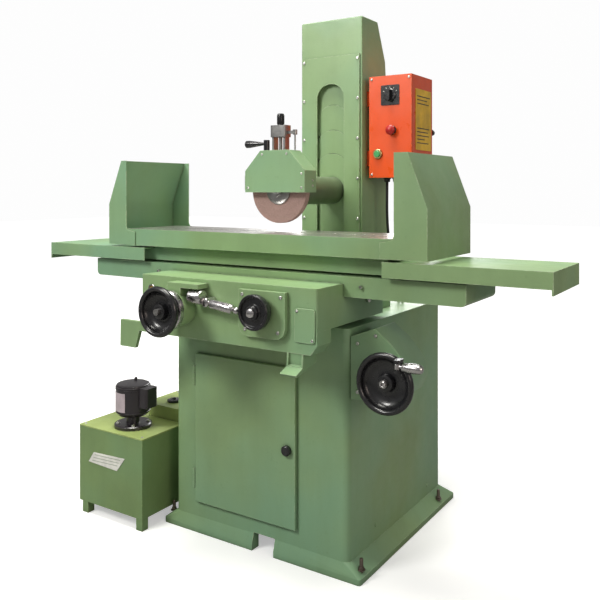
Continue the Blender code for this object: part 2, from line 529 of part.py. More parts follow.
    ax, az, bx, bz = -0.0300, 0.7425, 0.0725, 0.7290
    lever = rod("table_lock_lever", "Y", ax, az, 0.0125, -0.192, SADDLE_FRONT - GAP, 24)
    slope = math.atan2(bz - az, bx - ax)
    length = math.hypot(bx - ax, bz - az)
    arm = turned("arm", "X", LEVER_Y, 0.0,
                 [(0, 0.0), (0.0080, 0.0), (0.0080, length * 0.10), (0.0115, length * 0.12), (0.0135, length * 0.20),
                  (0.0135, length * 0.84), (0.0115, length * 0.88), (0.0050, length * 0.90), (0.0085, length * 0.94),
                  (0.0098, length * 1.00), (0.0070, length * 1.06), (0, length * 1.08)], 24)
    arm.data.transform(Matrix.Rotation(-slope, 4, "Y"))
    arm.data.transform(Matrix.Translation((ax, 0, az)))
    join(lever, arm)
    paint(set_origin(lever, ax, 0, az), "chrome")


# ---------------------------------------------------------------- table, way covers and splash guards
def rack_teeth():
    """The rack under the table, in mesh with the idler gear."""
    teeth, pitch = IDLER_TEETH, math.pi * MODULE
    lowest, root = RACK_Z - 0.0014, RACK_Z + 0.0026
    # where an idler tooth points straight up the rack has a gap, otherwise a tooth
    top_phase = (math.pi / 2 - (-math.pi / 2 + math.pi / teeth)) / (2 * math.pi / teeth)
    gap_here = abs(top_phase - round(top_phase)) < 0.25
    first = TRAV_X + (0.5 if gap_here else 0.0) * pitch
    outline = [(-0.42, 0.828), (-0.42, root)]
    k = math.ceil((-0.415 - first) / pitch)
    while first + k * pitch < 0.13:
        x = first + k * pitch
        outline += [(x - 0.26 * pitch, root), (x - 0.13 * pitch, lowest), (x + 0.13 * pitch, lowest),
                    (x + 0.26 * pitch, root)]
        k += 1
    outline += [(0.135, root), (0.135, 0.828)]
    return prism("rack", "Y", outline, 0.0825, 0.1015)


def build_table():
    x0, x1, y0, y1, z0, z1 = TABLE
    table = block("table", x0, x1, y0, y1, z0, z1, 0.002)
    rx0, rx1, ry0, ry1, rz0, rz1 = RAIL
    join(table, block("rail", rx0, rx1, ry0, ry1, rz0, rz1), block("riser", -0.402, 0.427, 0.0005, 0.1695, 0.85, 0.88))
    join(table, rack_teeth())
    vee = [(0.030 - 0.0290, 0.8090), (0.030 + 0.0290, 0.8090), (0.030, 0.8374)]
    cut(table, prism("vee_groove", "X", vee, -1, 1),
        block("slot_neck", -1, 1, 0.0680, 0.0820, 0.913, 0.94),
        block("slot_foot", -1, 1, 0.0625, 0.0875, 0.905, 0.9145))
    paint(table, "steel")

    for name, s in (("way_cover_left", -1), ("way_cover_right", 1)):
        lo, hi = sorted((s * WING_X, -0.405 if s < 0 else 0.430))
        cover = block(name, lo, hi, -0.0430, 0.2130, WING_Z0, WING_Z1)
        join(cover, block("end", *sorted((s * WING_X, s * (WING_X - 0.004))), -0.0430, 0.2130, 0.812, WING_Z1 - 0.001))
        inner = sorted((s * (WING_X - 0.004), -0.39 if s < 0 else 0.41))
        cut(cover, block("under", inner[0], inner[1], -0.0400, 0.2100, 0.80, WING_Z1 - 0.004))
        paint(cover, "green")

    for name, s in (("splash_guard_left", -1), ("splash_guard_right", 1)):
        near, top_x, out_x = (0.4640, 0.5018, 0.5548) if s > 0 else (-0.4855, -0.5078, -0.5635)
        foot = near - s * 0.040
        shape = [(foot, 0.873), (out_x, 0.873), (out_x, 1.003), (top_x, 1.144), (near, 1.144), (near, 0.932),
                 (near - s * 0.006, 0.922), (foot, 0.915)]
        guard = prism(name, "Y", shape, GUARD_Y0, GUARD_Y1)
        room = [(foot - s * 0.05, 0.86), (out_x - s * SHEET, 0.86), (out_x - s * SHEET, 1.0026), (top_x - s * SHEET, 1.143),
                (top_x - s * SHEET, 1.2), (foot - s * 0.05, 1.2)]
        cut(guard, prism("room", "Y", room, GUARD_Y0 + SHEET, GUARD_Y1 - SHEET))
        paint(guard, "green")


# ---------------------------------------------------------------- control box and cables
def cord(name, points, radius):
    curve = bpy.data.curves.new(name, "CURVE")
    curve.dimensions = "3D"
    curve.bevel_depth = radius
    curve.bevel_resolution = 2
    curve.use_fill_caps = True
    spline = curve.splines.new("POLY")
    spline.points.add(len(points) - 1)
    for p, xyz in zip(spline.points, points):
        p.co = (*xyz, 1)
    obj = bpy.data.objects.new(name, curve)
    bpy.context.scene.collection.objects.link(obj)
    deps = bpy.context.evaluated_depsgraph_get()
    mesh = bpy.data.meshes.new_from_object(obj.evaluated_get(deps))
    made = bpy.data.objects.new(name + "_solid", mesh)
    bpy.context.scene.collection.objects.link(made)
    bpy.data.objects.remove(obj, do_unlink=True)
    made.name = name
    bm = bmesh.new()
    bm.from_mesh(mesh)
    bmesh.ops.remove_doubles(bm, verts=bm.verts, dist=0.00001)
    bmesh.ops.recalc_face_normals(bm, faces=bm.faces)
    bm.to_mesh(mesh)
    bm.free()
    return made


def build_control_box():
    x0, x1, y0, y1, z0, z1 = BOX
    box = block("control_box", x0, x1, y0 + 0.004, y1, z0, z1, 0.004)
    cut(box, block("room", x0 + 0.003, x1 - 0.003, y0 - 0.02, y1 - 0.003, z0 + 0.003, z1 - 0.003))
    join(box, block("upper_bracket", COL_X + GAP, x0 + 0.001, 0.47, 0.50, 1.33, 1.38),
         block("lower_bracket", COL_X + GAP, x0 + 0.001, 0.47, 0.50, 1.13, 1.18))
    for x in (0.180, 0.212):
        cut(box, rod("gland", "Z", x, 0.500, 0.0062, z0 - 0.02, z0 + 0.02, 16))
    paint(box, "orange")

    cover = block("control_box_cover", x0, x1, y0, y0 + 0.0037, z0, z1)
    for x, z, r in ((0.2165, 1.3595, 0.0082), (0.224, 1.2445, 0.0082), (0.172, 1.168, 0.0112)):
        cut(cover, rod("port", "Y", x, z, r, y0 - 0.02, y0 + 0.02, 24))
    paint(set_origin(cover, x1, y0, 0), "orange")

    knob = turned("rotary_switch", "Y", 0.2165, 1.3595,
                  [(0, y0 - 0.0055), (0.019, y0 - 0.0055), (0.021, y0 - 0.0035), (0.021, y0 - 0.0020), (0.008, y0 - 0.0020),
                   (0.008, y0 + 0.030), (0, y0 + 0.030)], 24)
    bar = rect(0.2165 - 0.0055, 0.2165 + 0.0055, 1.3595 - 0.018, 1.3595 + 0.018, 0.004)
    join(knob, prism("bar", "Y", bar, y0 - 0.019, y0 - 0.005))
    paint(set_origin(knob, 0.2165, 0, 1.3595), "black")
    stop = turned("emergency_stop", "Y", 0.224, 1.2445,
                  [(0, y0 - 0.026), (0.010, y0 - 0.024), (0.0155, y0 - 0.019), (0.0160, y0 - 0.015), (0.0135, y0 - 0.013),
                   (0.008, y0 - 0.012), (0.008, y0 + 0.020), (0, y0 + 0.020)], 24)
    paint(stop, "red")
    start = turned("start_button", "Y", 0.172, 1.168,
                   [(0, y0 - 0.010), (0.0095, y0 - 0.010), (0.0110, y0 - 0.0085), (0.0110, y0 + 0.020), (0, y0 + 0.020)], 24)
    paint(start, "button_green")

    for name, x, lean, xe in (("cable_front", 0.180, -0.012, 0.206), ("cable_rear", 0.212, 0.010, 0.220)):
        top, low, n = z0 + 0.020, PED_Z + 0.001, 18
        pts = []
        for i in range(n + 1):
            t = i / n
            drift = (xe - x) * t * t * (3 - 2 * t)
            pts.append((x + drift + lean * math.sin(math.pi * t) ** 2, 0.500 + 0.035 * t * t, top + (low - top) * t))
        paint(cord(name, pts, 0.0048), "rubber")


# ---------------------------------------------------------------- coolant tank and pump
def build_tank():
    x0, x1, y0, y1, z0, z1 = TANK
    tank = block("coolant_tank", x0, x1, y0, y1, z0, z1)
    cut(tank, block("room", x0 + 0.004, x1 - 0.004, y0 + 0.004, y1 - 0.004, z0 + 0.004, z1 + 0.02))
    leg = 0.026
    for lx in (x0 + 0.014, x1 - leg - 0.0005):
        for ly in (y0 + 0.0005, y1 - leg - 0.0005):
            join(tank, block("leg", lx, lx + leg, ly, ly + leg, 0.0, z0 + 0.003))
    paint(tank, "tank_green")

    lid = block("tank_lid", x0 - 0.001, x1 + 0.001, y0 - 0.001, y1 + 0.001, z1 + GAP, z1 + 0.004, 0.002)
    hx0, hx1, hy0, hy1, hz = HOOD
    join(lid, block("hood", hx0, hx1, hy0, hy1, z1 + 0.001, hz))
    cut(lid, block("hood_room", hx0 + 0.003, hx1 - 0.003, hy0 + 0.003, hy1 - 0.003, z1 - 0.01, hz - 0.003),
        rod("pump_hole", "Z", PUMP_X, PUMP_Y, 0.034, z1 - 0.02, z1 + 0.02, 32))
    paint(lid, "tank_green")

    base = z1 + 0.0043
    pump = turned("coolant_pump", "Z", PUMP_X, PUMP_Y,
                  [(0.0225, z0 + 0.030), (0.0320, z0 + 0.030), (0.0320, base), (0.060, base), (0.060, base + 0.009),
                   (0.056, base + 0.012), (0.022, base + 0.012), (0.020, base + 0.034), (0.046, base + 0.039),
                   (0.054, base + 0.048), (0.055, base + 0.128), (0.053, base + 0.137), (0.048, base + 0.1395),
                   (0, base + 0.1405), (0, base + 0.134), (0.045, base + 0.132), (0.048, base + 0.120),
                   (0.047, base + 0.052), (0.0095, base + 0.042), (0.0095, base + 0.004), (0.0225, base + 0.002)], 32)
    join(pump, block("terminal_box", PUMP_X + 0.046, PUMP_X + 0.086, PUMP_Y - 0.026, PUMP_Y + 0.026, base + 0.072,
                     base + 0.134, 0.010))
    paint(pump, "black")
    rotor = turned("pump_impeller", "Z", PUMP_X, PUMP_Y,
                   [(0, z0 + 0.036), (0.020, z0 + 0.036), (0.020, z0 + 0.044), (0.006, z0 + 0.046), (0.006, base + 0.060),
                    (0.030, base + 0.064), (0.030, base + 0.110), (0.006, base + 0.112), (0.006, base + 0.130),
                    (0, base + 0.130)], 24)
    paint(set_origin(rotor, PUMP_X, PUMP_Y, 0), "steel")


build_pedestal()
build_elevation()
build_column()
build_wheel_guard()
build_saddle()
build_table()
build_control_box()
build_tank()

for piece in bpy.data.objects:
    piece.location.y -= MIDDLE_Y
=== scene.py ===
"""Looks of the surface grinder: camera, light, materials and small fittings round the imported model."""
import math

import bmesh
import bpy
from mathutils import Matrix, Vector


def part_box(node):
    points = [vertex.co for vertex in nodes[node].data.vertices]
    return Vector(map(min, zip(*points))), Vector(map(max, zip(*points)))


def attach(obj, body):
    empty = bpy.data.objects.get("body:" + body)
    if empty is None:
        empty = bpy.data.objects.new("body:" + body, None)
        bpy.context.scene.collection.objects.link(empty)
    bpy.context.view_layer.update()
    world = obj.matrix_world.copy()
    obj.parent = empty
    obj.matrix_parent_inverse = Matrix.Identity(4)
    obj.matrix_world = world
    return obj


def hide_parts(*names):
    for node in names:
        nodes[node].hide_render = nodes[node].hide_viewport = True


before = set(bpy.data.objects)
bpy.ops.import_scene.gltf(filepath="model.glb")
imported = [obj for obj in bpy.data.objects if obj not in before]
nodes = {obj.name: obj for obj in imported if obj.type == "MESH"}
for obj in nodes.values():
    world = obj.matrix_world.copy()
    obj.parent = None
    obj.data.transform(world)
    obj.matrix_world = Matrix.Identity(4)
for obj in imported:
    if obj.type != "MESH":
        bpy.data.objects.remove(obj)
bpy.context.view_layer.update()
FOOT_OUT, FOOT_TOP = 0.009, 0.016
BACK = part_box("pedestal")[0].y + FOOT_OUT   # the pedestal's front face; fittings are laid out from it


def add_object(name, data):
    """Scene object that holds the data."""
    obj = bpy.data.objects.new(name, data)
    bpy.context.scene.collection.objects.link(obj)
    return obj


# ---------------------------------------------------------------- camera
cam_data = bpy.data.cameras.new("camera")
cam_data.lens = 43.85
cam_data.sensor_width = 36.0
cam_data.shift_x = 0.0056
cam_data.shift_y = -0.1832
cam_data.clip_end = 60
camera = add_object("camera", cam_data)
camera.location = (1.2655, -1.9206, 1.049)
camera.rotation_euler = (math.radians(90), 0, math.radians(33.147))
bpy.context.scene.camera = camera

# ---------------------------------------------------------------- floor and light
world = bpy.data.worlds.new("world")
bpy.context.scene.world = world
world.use_nodes = True
tree = world.node_tree
sky = tree.nodes["Background"]
sky.inputs["Color"].default_value = (1.0, 0.985, 0.96, 1)
sky.inputs["Strength"].default_value = 0.30          # what lights the machine
paper = tree.nodes.new("ShaderNodeBackground")
paper.inputs["Color"].default_value = (0.985, 0.985, 0.985, 1)   # what is seen behind it
seen = tree.nodes.new("ShaderNodeLightPath")
either = tree.nodes.new("ShaderNodeMixShader")
tree.links.new(seen.outputs["Is Camera Ray"], either.inputs["Fac"])
tree.links.new(sky.outputs["Background"], either.inputs[1])
tree.links.new(paper.outputs["Background"], either.inputs[2])
tree.links.new(either.outputs["Shader"], tree.nodes["World Output"].inputs["Surface"])
bpy.context.scene.view_settings.view_transform = "Standard"


def lamp(name, place, target, size, power, colour=(1, 1, 1)):
    """Round soft lamp aimed at a point."""
    data = bpy.data.lights.new(name, "AREA")
    data.shape = "DISK"
    data.size = size
    data.energy = power
    data.color = colour
    obj = add_object(name, data)
    obj.location = place
    obj.rotation_euler = (Vector(target) - Vector(place)).to_track_quat("-Z", "Y").to_euler()


lamp("key", (-1.3, -2.9, 3.0), (0, 0, 0.9), 1.2, 84, (1.0, 0.99, 0.95))
lamp("fill", (3.6, -1.6, 1.9), (0, 0, 0.8), 1.8, 30, (1.0, 0.82, 0.72))
lamp("top", (-0.2, -0.4, 4.4), (0, 0, 0.8), 1.8, 170, (1.0, 0.98, 0.90))
lamp("back", (-1.4, 3.2, 2.2), (0, 0, 0.9), 1.8, 45)


# ---------------------------------------------------------------- materials
class Shader:
    """A node material under construction."""

    def __init__(self, name):
        self.mat = bpy.data.materials.new(name)
        self.mat.use_nodes = True
        self.tree = self.mat.node_tree
        self.bsdf = self.tree.nodes["Principled BSDF"]
        self.coord = self.add("ShaderNodeTexCoord").outputs["Object"]

    def add(self, kind, **values):
        node = self.tree.nodes.new(kind)
        for key, value in values.items():
            if hasattr(node, key):
                setattr(node, key, value)
            else:
                node.inputs[key.replace("_", " ")].default_value = value
        return node

    def link(self, a, b):
        self.tree.links.new(a, b)

    def noise(self, scale, detail=4.0, rough=0.55, stretch=(1, 1, 1)):
        mapping = self.add("ShaderNodeMapping")
        mapping.inputs["Scale"].default_value = stretch
        self.link(self.coord, mapping.inputs["Vector"])
        node = self.add("ShaderNodeTexNoise")
        node.inputs["Scale"].default_value = scale
        node.inputs["Detail"].default_value = detail
        node.inputs["Roughness"].default_value = rough
        self.link(mapping.outputs["Vector"], node.inputs["Vector"])
        return node.outputs["Fac"]

    def ramp(self, fac, stops):
        node = self.add("ShaderNodeValToRGB")
        while len(node.color_ramp.elements) < len(stops):
            node.color_ramp.elements.new(0.5)
        for element, (at, colour) in zip(node.color_ramp.elements, stops):
            element.position = at
            element.color = colour if len(colour) == 4 else (*colour, 1)
        self.link(fac, node.inputs["Fac"])
        return node.outputs["Color"]

    def mix(self, fac, a, b, mode="MIX"):
        node = self.add("ShaderNodeMix", data_type="RGBA", blend_type=mode)
        for value, socket in ((fac, node.inputs[0]), (a, node.inputs[6]), (b, node.inputs[7])):
            if hasattr(value, "is_linked"):
                self.link(value, socket)
            elif isinstance(value, tuple):
                socket.default_value = value if len(value) == 4 else (*value, 1)
            else:
                socket.default_value = value
        return node.outputs[2]

    def range(self, fac, lo, hi, from_lo=0.3, from_hi=0.7):
        node = self.add("ShaderNodeMapRange")
        node.inputs["From Min"].default_value = from_lo
        node.inputs["From Max"].default_value = from_hi
        node.inputs["To Min"].default_value = lo
        node.inputs["To Max"].default_value = hi
        self.link(fac, node.inputs["Value"])
        return node.outputs["Result"]

    def edges(self, radius=0.004):
        """1 along edges and corners, 0 on open faces."""
        bevel = self.add("ShaderNodeBevel", samples=4)
        bevel.inputs["Radius"].default_value = radius
        geometry = self.add("ShaderNodeNewGeometry")
        dot = self.add("ShaderNodeVectorMath", operation="DOT_PRODUCT")
        self.link(bevel.outputs["Normal"], dot.inputs[0])
        self.link(geometry.outputs["Normal"], dot.inputs[1])
        return self.range(dot.outputs["Value"], 1.0, 0.0, 0.86, 0.995)

    def painted_crevice_shade(self, distance, amount):
        """Painted shade: rises towards amount in seams, corners and behind fittings, where occlusion shades
        them; 0 on open faces.
        """
        occlusion = self.add("ShaderNodeAmbientOcclusion", samples=4)
        occlusion.inputs["Distance"].default_value = distance
        return self.range(occlusion.outputs["AO"], amount, 0.0, 0.25, 0.85)

    def bump(self, height, strength, distance):
        node = self.add("ShaderNodeBump")
        node.inputs["Strength"].default_value = strength
        node.inputs["Distance"].default_value = distance
        self.link(height, node.inputs["Height"])
        self.link(node.outputs["Normal"], self.bsdf.inputs["Normal"])


def shade(colour, k):
    """The same colour, k times as light."""
    return tuple(min(1.0, c * k) for c in colour)


def paint(name, colour, rough=0.36, worn=(0.30, 0.42, 0.27), wear=0.35, coat=0.25, peel=0.10, cool=0.0):
    """Machine enamel: faint clouding, orange peel, rubbed edges, runs of grime and painted shade in seams and
    corners.

    cool is how far the clouds lean to blue-green."""
    s = Shader(name)
    clouds = s.noise(3.2, 5.0)
    base = s.ramp(clouds, [(0.30, shade(colour, 0.84)), (0.52, colour), (0.72, shade(colour, 1.12))])
    if cool:
        chill = tuple(c * k for c, k in zip(colour, (0.78, 0.97, 1.35)))
        base = s.mix(s.range(s.noise(1.7, 3.0), 0.0, cool, 0.40, 0.62), base, chill)
    streaks = s.noise(14.0, 6.0, 0.6, (1.0, 1.0, 0.18))
    base = s.mix(s.range(streaks, 0.0, 0.26, 0.45, 0.75), base, shade(colour, 0.66))
    specks = s.noise(95.0, 5.0, 0.75)
    base = s.mix(s.range(specks, 0.0, 0.30, 0.60, 0.72), base, shade(colour, 0.52))
    scuffs = s.noise(46.0, 3.0, 0.7)
    edge = s.add("ShaderNodeMath", operation="MULTIPLY")
    s.link(s.edges(), edge.inputs[0])
    s.link(s.range(scuffs, 0.0, wear * 2, 0.42, 0.62), edge.inputs[1])
    base = s.mix(edge.outputs["Value"], base, worn)
    # painted shade: the enamel darkens towards a fifth of its colour in seams, corners and behind fittings
    base = s.mix(s.painted_crevice_shade(0.012, 0.75), base, shade(colour, 0.22))
    s.link(base, s.bsdf.inputs["Base Color"])
    s.link(s.range(s.noise(22.0, 4.0), rough - 0.04, rough + 0.14), s.bsdf.inputs["Roughness"])
    s.bsdf.inputs["Coat Weight"].default_value = coat
    s.bsdf.inputs["Coat Roughness"].default_value = 0.25
    s.bump(s.noise(230.0, 2.0, 0.5), peel, 0.002)
    return s.mat


def metal(name, colour, rough=0.28, stretch=(1, 1, 1), scale=120.0, bump=0.12, stain=0.25):
    """Machined metal with tool marks along one direction and faint oil stains."""
    s = Shader(name)
    marks = s.noise(scale, 5.0, 0.65, stretch)
    stains = s.noise(6.0, 5.0, 0.6)
    base = s.mix(s.range(stains, 0.0, stain, 0.42, 0.70), colour, shade(colour, 0.62))
    s.link(base, s.bsdf.inputs["Base Color"])
    s.bsdf.inputs["Metallic"].default_value = 1.0
    s.link(s.range(marks, rough - 0.06, rough + 0.16), s.bsdf.inputs["Roughness"])
    s.bump(marks, bump, 0.001)
    return s.mat


def plastic(name, colour, rough=0.25, coat=0.3, scuff=0.15, grain=260.0):
    """Moulded plastic, rubber or print: faint mottling, patchy gloss and a fine grain."""
    s = Shader(name)
    base = s.ramp(s.noise(18.0, 4.0), [(0.35, shade(colour, 0.82)), (0.65, shade(colour, 1.18))])
    s.link(base, s.bsdf.inputs["Base Color"])
    s.link(s.range(s.noise(55.0, 5.0, 0.7), rough, rough + scuff, 0.4, 0.75), s.bsdf.inputs["Roughness"])
    s.bsdf.inputs["Coat Weight"].default_value = coat
    s.bsdf.inputs["Coat Roughness"].default_value = 0.1
    s.bump(s.noise(grain, 2.0), 0.05, 0.001)
    return s.mat


def abrasive(name, colour):
    """Vitrified grit: dark and light grains with open pores."""
    s = Shader(name)
    grit = s.add("ShaderNodeTexVoronoi")
    grit.inputs["Scale"].default_value = 900.0
    s.link(s.coord, grit.inputs["Vector"])
    base = s.ramp(grit.outputs["Color"],
                  [(0.1, shade(colour, 0.60)), (0.5, colour), (0.9, shade(colour, 1.35))])
    base = s.mix(s.range(s.noise(30.0, 5.0), 0.0, 0.35), base, shade(colour, 0.75))
    s.link(base, s.bsdf.inputs["Base Color"])
    s.bsdf.inputs["Roughness"].default_value = 0.92
    s.bump(s.noise(700.0, 3.0, 0.7), 0.6, 0.001)
    return s.mat


GREEN = (0.262, 0.400, 0.188)
M = {"green": paint("machine_green", GREEN, worn=(0.50, 0.60, 0.40), wear=0.45, coat=0.15, cool=0.75),
     "dark": paint("spindle_green", (0.110, 0.150, 0.080), rough=0.42, worn=(0.2, 0.26, 0.17)),
     "tank": paint("tank_green", (0.198, 0.305, 0.120), rough=0.42, worn=(0.42, 0.55, 0.25), coat=0.1,
                   cool=0.8), "lid": paint("lid_green", (0.360, 0.450, 0.150), rough=0.42,
                                           worn=(0.50, 0.62, 0.30), coat=0.1),
     "orange": paint("signal_orange", (0.80, 0.085, 0.008), rough=0.30, worn=(0.95, 0.38, 0.12), wear=0.2),
     "pump": paint("motor_black", (0.017, 0.013, 0.018), rough=0.28, worn=(0.12, 0.10, 0.12), wear=0.2,
                   coat=0.5), "black": plastic("handwheel_black", (0.012, 0.012, 0.014)),
     "steel": metal("ground_steel", (0.60, 0.60, 0.58), 0.30),
     "top": metal("ground_table", (0.74, 0.73, 0.70), 0.24, (0.05, 6.0, 1.0), 160.0, 0.10, 0.15),
     "turned": metal("turned_steel", (0.50, 0.49, 0.48), 0.27, (1, 1, 1), 240.0, 0.08),
     "chrome": metal("chrome_plate", (0.60, 0.58, 0.59), 0.18, (1, 1, 1), 90.0, 0.012, 0.30),
     "dull_chrome": metal("dull_plate", (0.36, 0.355, 0.35), 0.30, (1, 1, 1), 140.0, 0.18, 0.5),
     "rust": metal("dark_bolt", (0.20, 0.165, 0.14), 0.45, (1, 1, 1), 120.0, 0.3, 0.6),
     "iron": paint("bare_iron", (0.16, 0.155, 0.15), rough=0.6, worn=(0.35, 0.34, 0.33), coat=0.0,
                   peel=0.35), "brass": metal("bearing_bronze", (0.62, 0.42, 0.20), 0.30),
     "abrasive": abrasive("abrasive_grit", (0.37, 0.245, 0.215)),
     "rubber": plastic("cable_rubber", (0.014, 0.014, 0.015), 0.55, 0.0),
     "red": plastic("button_red", (0.42, 0.010, 0.010), 0.42, 0.15),
     "button": plastic("button_green", (0.07, 0.36, 0.12), 0.25, 0.3),
     "label": plastic("label_yellow", (0.80, 0.50, 0.030), 0.38, 0.1),
     "plate": plastic("label_pale", (0.66, 0.66, 0.60), 0.35, 0.2),
     "tag": plastic("label_white", (0.84, 0.84, 0.79), 0.35, 0.2),
     "faint": plastic("faded_ink", (0.46, 0.50, 0.42), 0.45, 0.0),
     "pump_plate": plastic("label_silver", (0.52, 0.44, 0.48), 0.35, 0.2),
     "ink": plastic("label_ink", (0.05, 0.05, 0.05), 0.45, 0.0),
     # painted shadow: near-black green for the strips along the slot covers' arches
     "painted_seam_shadow": plastic("seam_shadow", (0.040, 0.058, 0.030), 0.7, 0.0),
     "glass": plastic("oil_sight", (0.35, 0.20, 0.04), 0.08, 0.8),}

# ---------------------------------------------------------------- carried-over CAD nodes
FINISH = {"green": ["pedestal", "cabinet_door", "elevation_housing", "column", "column_face_plate",
                    "slot_cover_head", "slot_cover_upper_1", "slot_cover_upper_2", "slot_cover_lower",
                    "wheel_guard", "guard_cover", "saddle", "drain_chute", "splash_guard_left",
                    "splash_guard_right", "way_cover_left", "way_cover_right", "table"],
          "tank": ["coolant_tank"], "lid": ["tank_lid"], "orange": ["control_box", "control_box_cover"],
          "pump": ["coolant_pump"], "black": ["door_lock", "dresser_knob", "dresser_lever",
                                              "rotary_switch"], "steel": ["elevation_drive_shaft",
                                                                          "idler_gear", "wheel_flange_rear",
                                                                          "pump_impeller", "front_bearing",
                                                                          "rear_bearing"],
          "turned": ["elevation_shaft", "lift_screw", "spindle_shaft", "wheel_flange_front",
                     "traverse_shaft", "crossfeed_screw", "dresser_ram"],
          "dull_chrome": ["dresser_bridge", "wheel_nut"],
          "chrome": ["elevation_handle", "lever_sleeve", "table_lock_lever"],
          "iron": ["head_carriage", "motor_stator", "drive_shaft_hanger"],
          "brass": ["lift_nut", "crossfeed_nut"], "red": ["emergency_stop"], "button": ["start_button"],
          "rubber": ["elevation_belt", "cable_front", "cable_rear"],}
SHARP_ANGLE, BEVEL_ANGLE = 34, 32              # degrees
ROUNDING = {"pedestal": 0.006, "saddle": 0.004, "column": 0.003, "table": 0.0012, "elevation_housing": 0.006,
            "control_box": 0.0025, "coolant_tank": 0.002, "wheel_guard": 0.001, "guard_cover": 0.0008,
            "cabinet_door": 0.0015, "coolant_pump": 0.002, "drain_chute": 0.001}


def smooth_by_angle(limit):
    """Node group that shades faces smooth and keeps the edges over the limit sharp."""
    group = bpy.data.node_groups.new("smooth_by_angle", "GeometryNodeTree")
    group.interface.new_socket("Mesh", in_out="INPUT", socket_type="NodeSocketGeometry")
    group.interface.new_socket("Mesh", in_out="OUTPUT", socket_type="NodeSocketGeometry")
    start, end = group.nodes.new("NodeGroupInput"), group.nodes.new("NodeGroupOutput")
    faces, creases = (group.nodes.new("GeometryNodeSetShadeSmooth") for _ in range(2))
    faces.domain, creases.domain = "FACE", "EDGE"
    creases.inputs["Shade Smooth"].default_value = False
    angle = group.nodes.new("GeometryNodeInputMeshEdgeAngle")
    sharp = group.nodes.new("FunctionNodeCompare")
    sharp.operation = "GREATER_THAN"
    sharp.inputs["B"].default_value = math.radians(limit)
    group.links.new(start.outputs[0], faces.inputs["Geometry"])
    group.links.new(faces.outputs[0], creases.inputs["Geometry"])
    group.links.new(angle.outputs["Unsigned Angle"], sharp.inputs["A"])
    group.links.new(sharp.outputs["Result"], creases.inputs["Selection"])
    group.links.new(creases.outputs[0], end.inputs[0])
    return group


def round_edges(obj, width, segments):
    """Bevel along the edges over BEVEL_ANGLE."""
    soft = obj.modifiers.new("round", "BEVEL")
    soft.width = width
    soft.segments = segments
    soft.limit_method = "ANGLE"
    soft.angle_limit = math.radians(BEVEL_ANGLE)


smoothing = smooth_by_angle(SHARP_ANGLE)
for key, names in FINISH.items():
    for name in names:
        obj = nodes[name]
        obj.data.materials.clear()
        obj.data.materials.append(M[key])
        weld = obj.modifiers.new("weld", "WELD")
        weld.merge_threshold = 0.00002
        if name in ROUNDING:
            round_edges(obj, ROUNDING[name], 3)
        obj.modifiers.new("shading", "NODES").node_group = smoothing
        if name in ROUNDING:
            flat = obj.modifiers.new("flat_faces", "WEIGHTED_NORMAL")
            flat.keep_sharp = True
            flat.weight = 90


table = nodes["table"]
table.data.materials.append(M["top"])
SLOT_Y = BACK + 0.075                          # middle of the T-slot
for face in table.data.polygons:
    if face.center.z > 0.90 and (face.normal.z > 0.9 or abs(face.center.y - SLOT_Y) < 0.014):
        face.material_index = 1

# ---------------------------------------------------------------- builders
def finish_mesh(obj, mat, body, width=0.0):
    """Gives a piece its material, rounded edges, smooth shading and body."""
    obj.data.materials.append(M[mat])
    if width:
        round_edges(obj, width, 2)
    for face in obj.data.polygons:
        face.use_smooth = True
    obj.data.set_sharp_from_angle(angle=math.radians(SHARP_ANGLE))
    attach(obj, body)


def from_lists(name, verts, faces):
    """Mesh object from points and faces, with its normals facing out."""
    mesh = bpy.data.meshes.new(name)
    bm = bmesh.new()
    made = [bm.verts.new(v) for v in verts]
    for face in faces:
        bm.faces.new([made[i] for i in face])
    bmesh.ops.recalc_face_normals(bm, faces=bm.faces)
    bm.to_mesh(mesh)
    bm.free()
    return add_object(name, mesh)


def place(axis, a, b, h):
    """Point at section coordinates a, b and height h along the axis; Y starts at the pedestal's front."""
    x, y, z = {"X": (h, a, b), "Y": (a, h, b), "Z": (a, b, h)}[axis]
    return (x, y + BACK, z)


def prism(name, axis, outline, h0, h1):
    """Flat outline pushed along an axis from h0 to h1."""
    n = len(outline)
    verts = [place(axis, a, b, h0) for a, b in outline] + [place(axis, a, b, h1) for a, b in outline]
    faces = [(i, (i + 1) % n, n + (i + 1) % n, n + i) for i in range(n)]
    return from_lists(name, verts, faces + [tuple(range(n)), tuple(range(n, 2 * n))])


def ring_points(a, b, r, n, turn=0.0):
    """Points evenly round a circle, turned by a share of one step."""
    return [(a + r * math.cos(2 * math.pi * (i + turn) / n),
             b + r * math.sin(2 * math.pi * (i + turn) / n)) for i in range(n)]


def lathe(name, axis, a, b, profile, n=64):
    """Profile of (radius, height), closed on itself; radius 0 sits on the axis."""
    verts, rows, faces = [], [], []
    for r, h in profile:
        if r == 0:
            verts.append(place(axis, a, b, h))
            rows.append([len(verts) - 1] * n)
        else:
            rows.append(list(range(len(verts), len(verts) + n)))
            verts += [place(axis, p, q, h) for p, q in ring_points(a, b, r, n)]
    for k in range(len(rows)):
        lo, hi = rows[k], rows[(k + 1) % len(rows)]
        for i in range(n):
            j = (i + 1) % n
            face = list(dict.fromkeys((lo[i], lo[j], hi[j], hi[i])))
            if len(face) > 2:
                faces.append(tuple(face))
    return from_lists(name, verts, faces)


def rounded(a0, a1, b0, b1, r, n=5):
    """Outline of a rectangle with round corners of n steps."""
    out = []
    for a, b, sa, sb, start in ((a0, b0, 1, 1, 180), (a1, b0, -1, 1, 270), (a1, b1, -1, -1, 0),
                                (a0, b1, 1, -1, 90)):
        for k in range(n + 1):
            t = math.radians(start + 90 * k / n)
            out.append((a + sa * r + r * math.cos(t), b + sb * r + r * math.sin(t)))
    return out


def radial_mark(a, b, turn, r0, r1, half):
    """Outline of a line from radius r0 to r1 round (a, b), with half its width to each side."""
    c, s = math.cos(turn), math.sin(turn)
    corners = ((r0, half), (r1, half), (r1, -half), (r0, -half))
    return [(a + r * c - w * s, b + r * s + w * c) for r, w in corners]


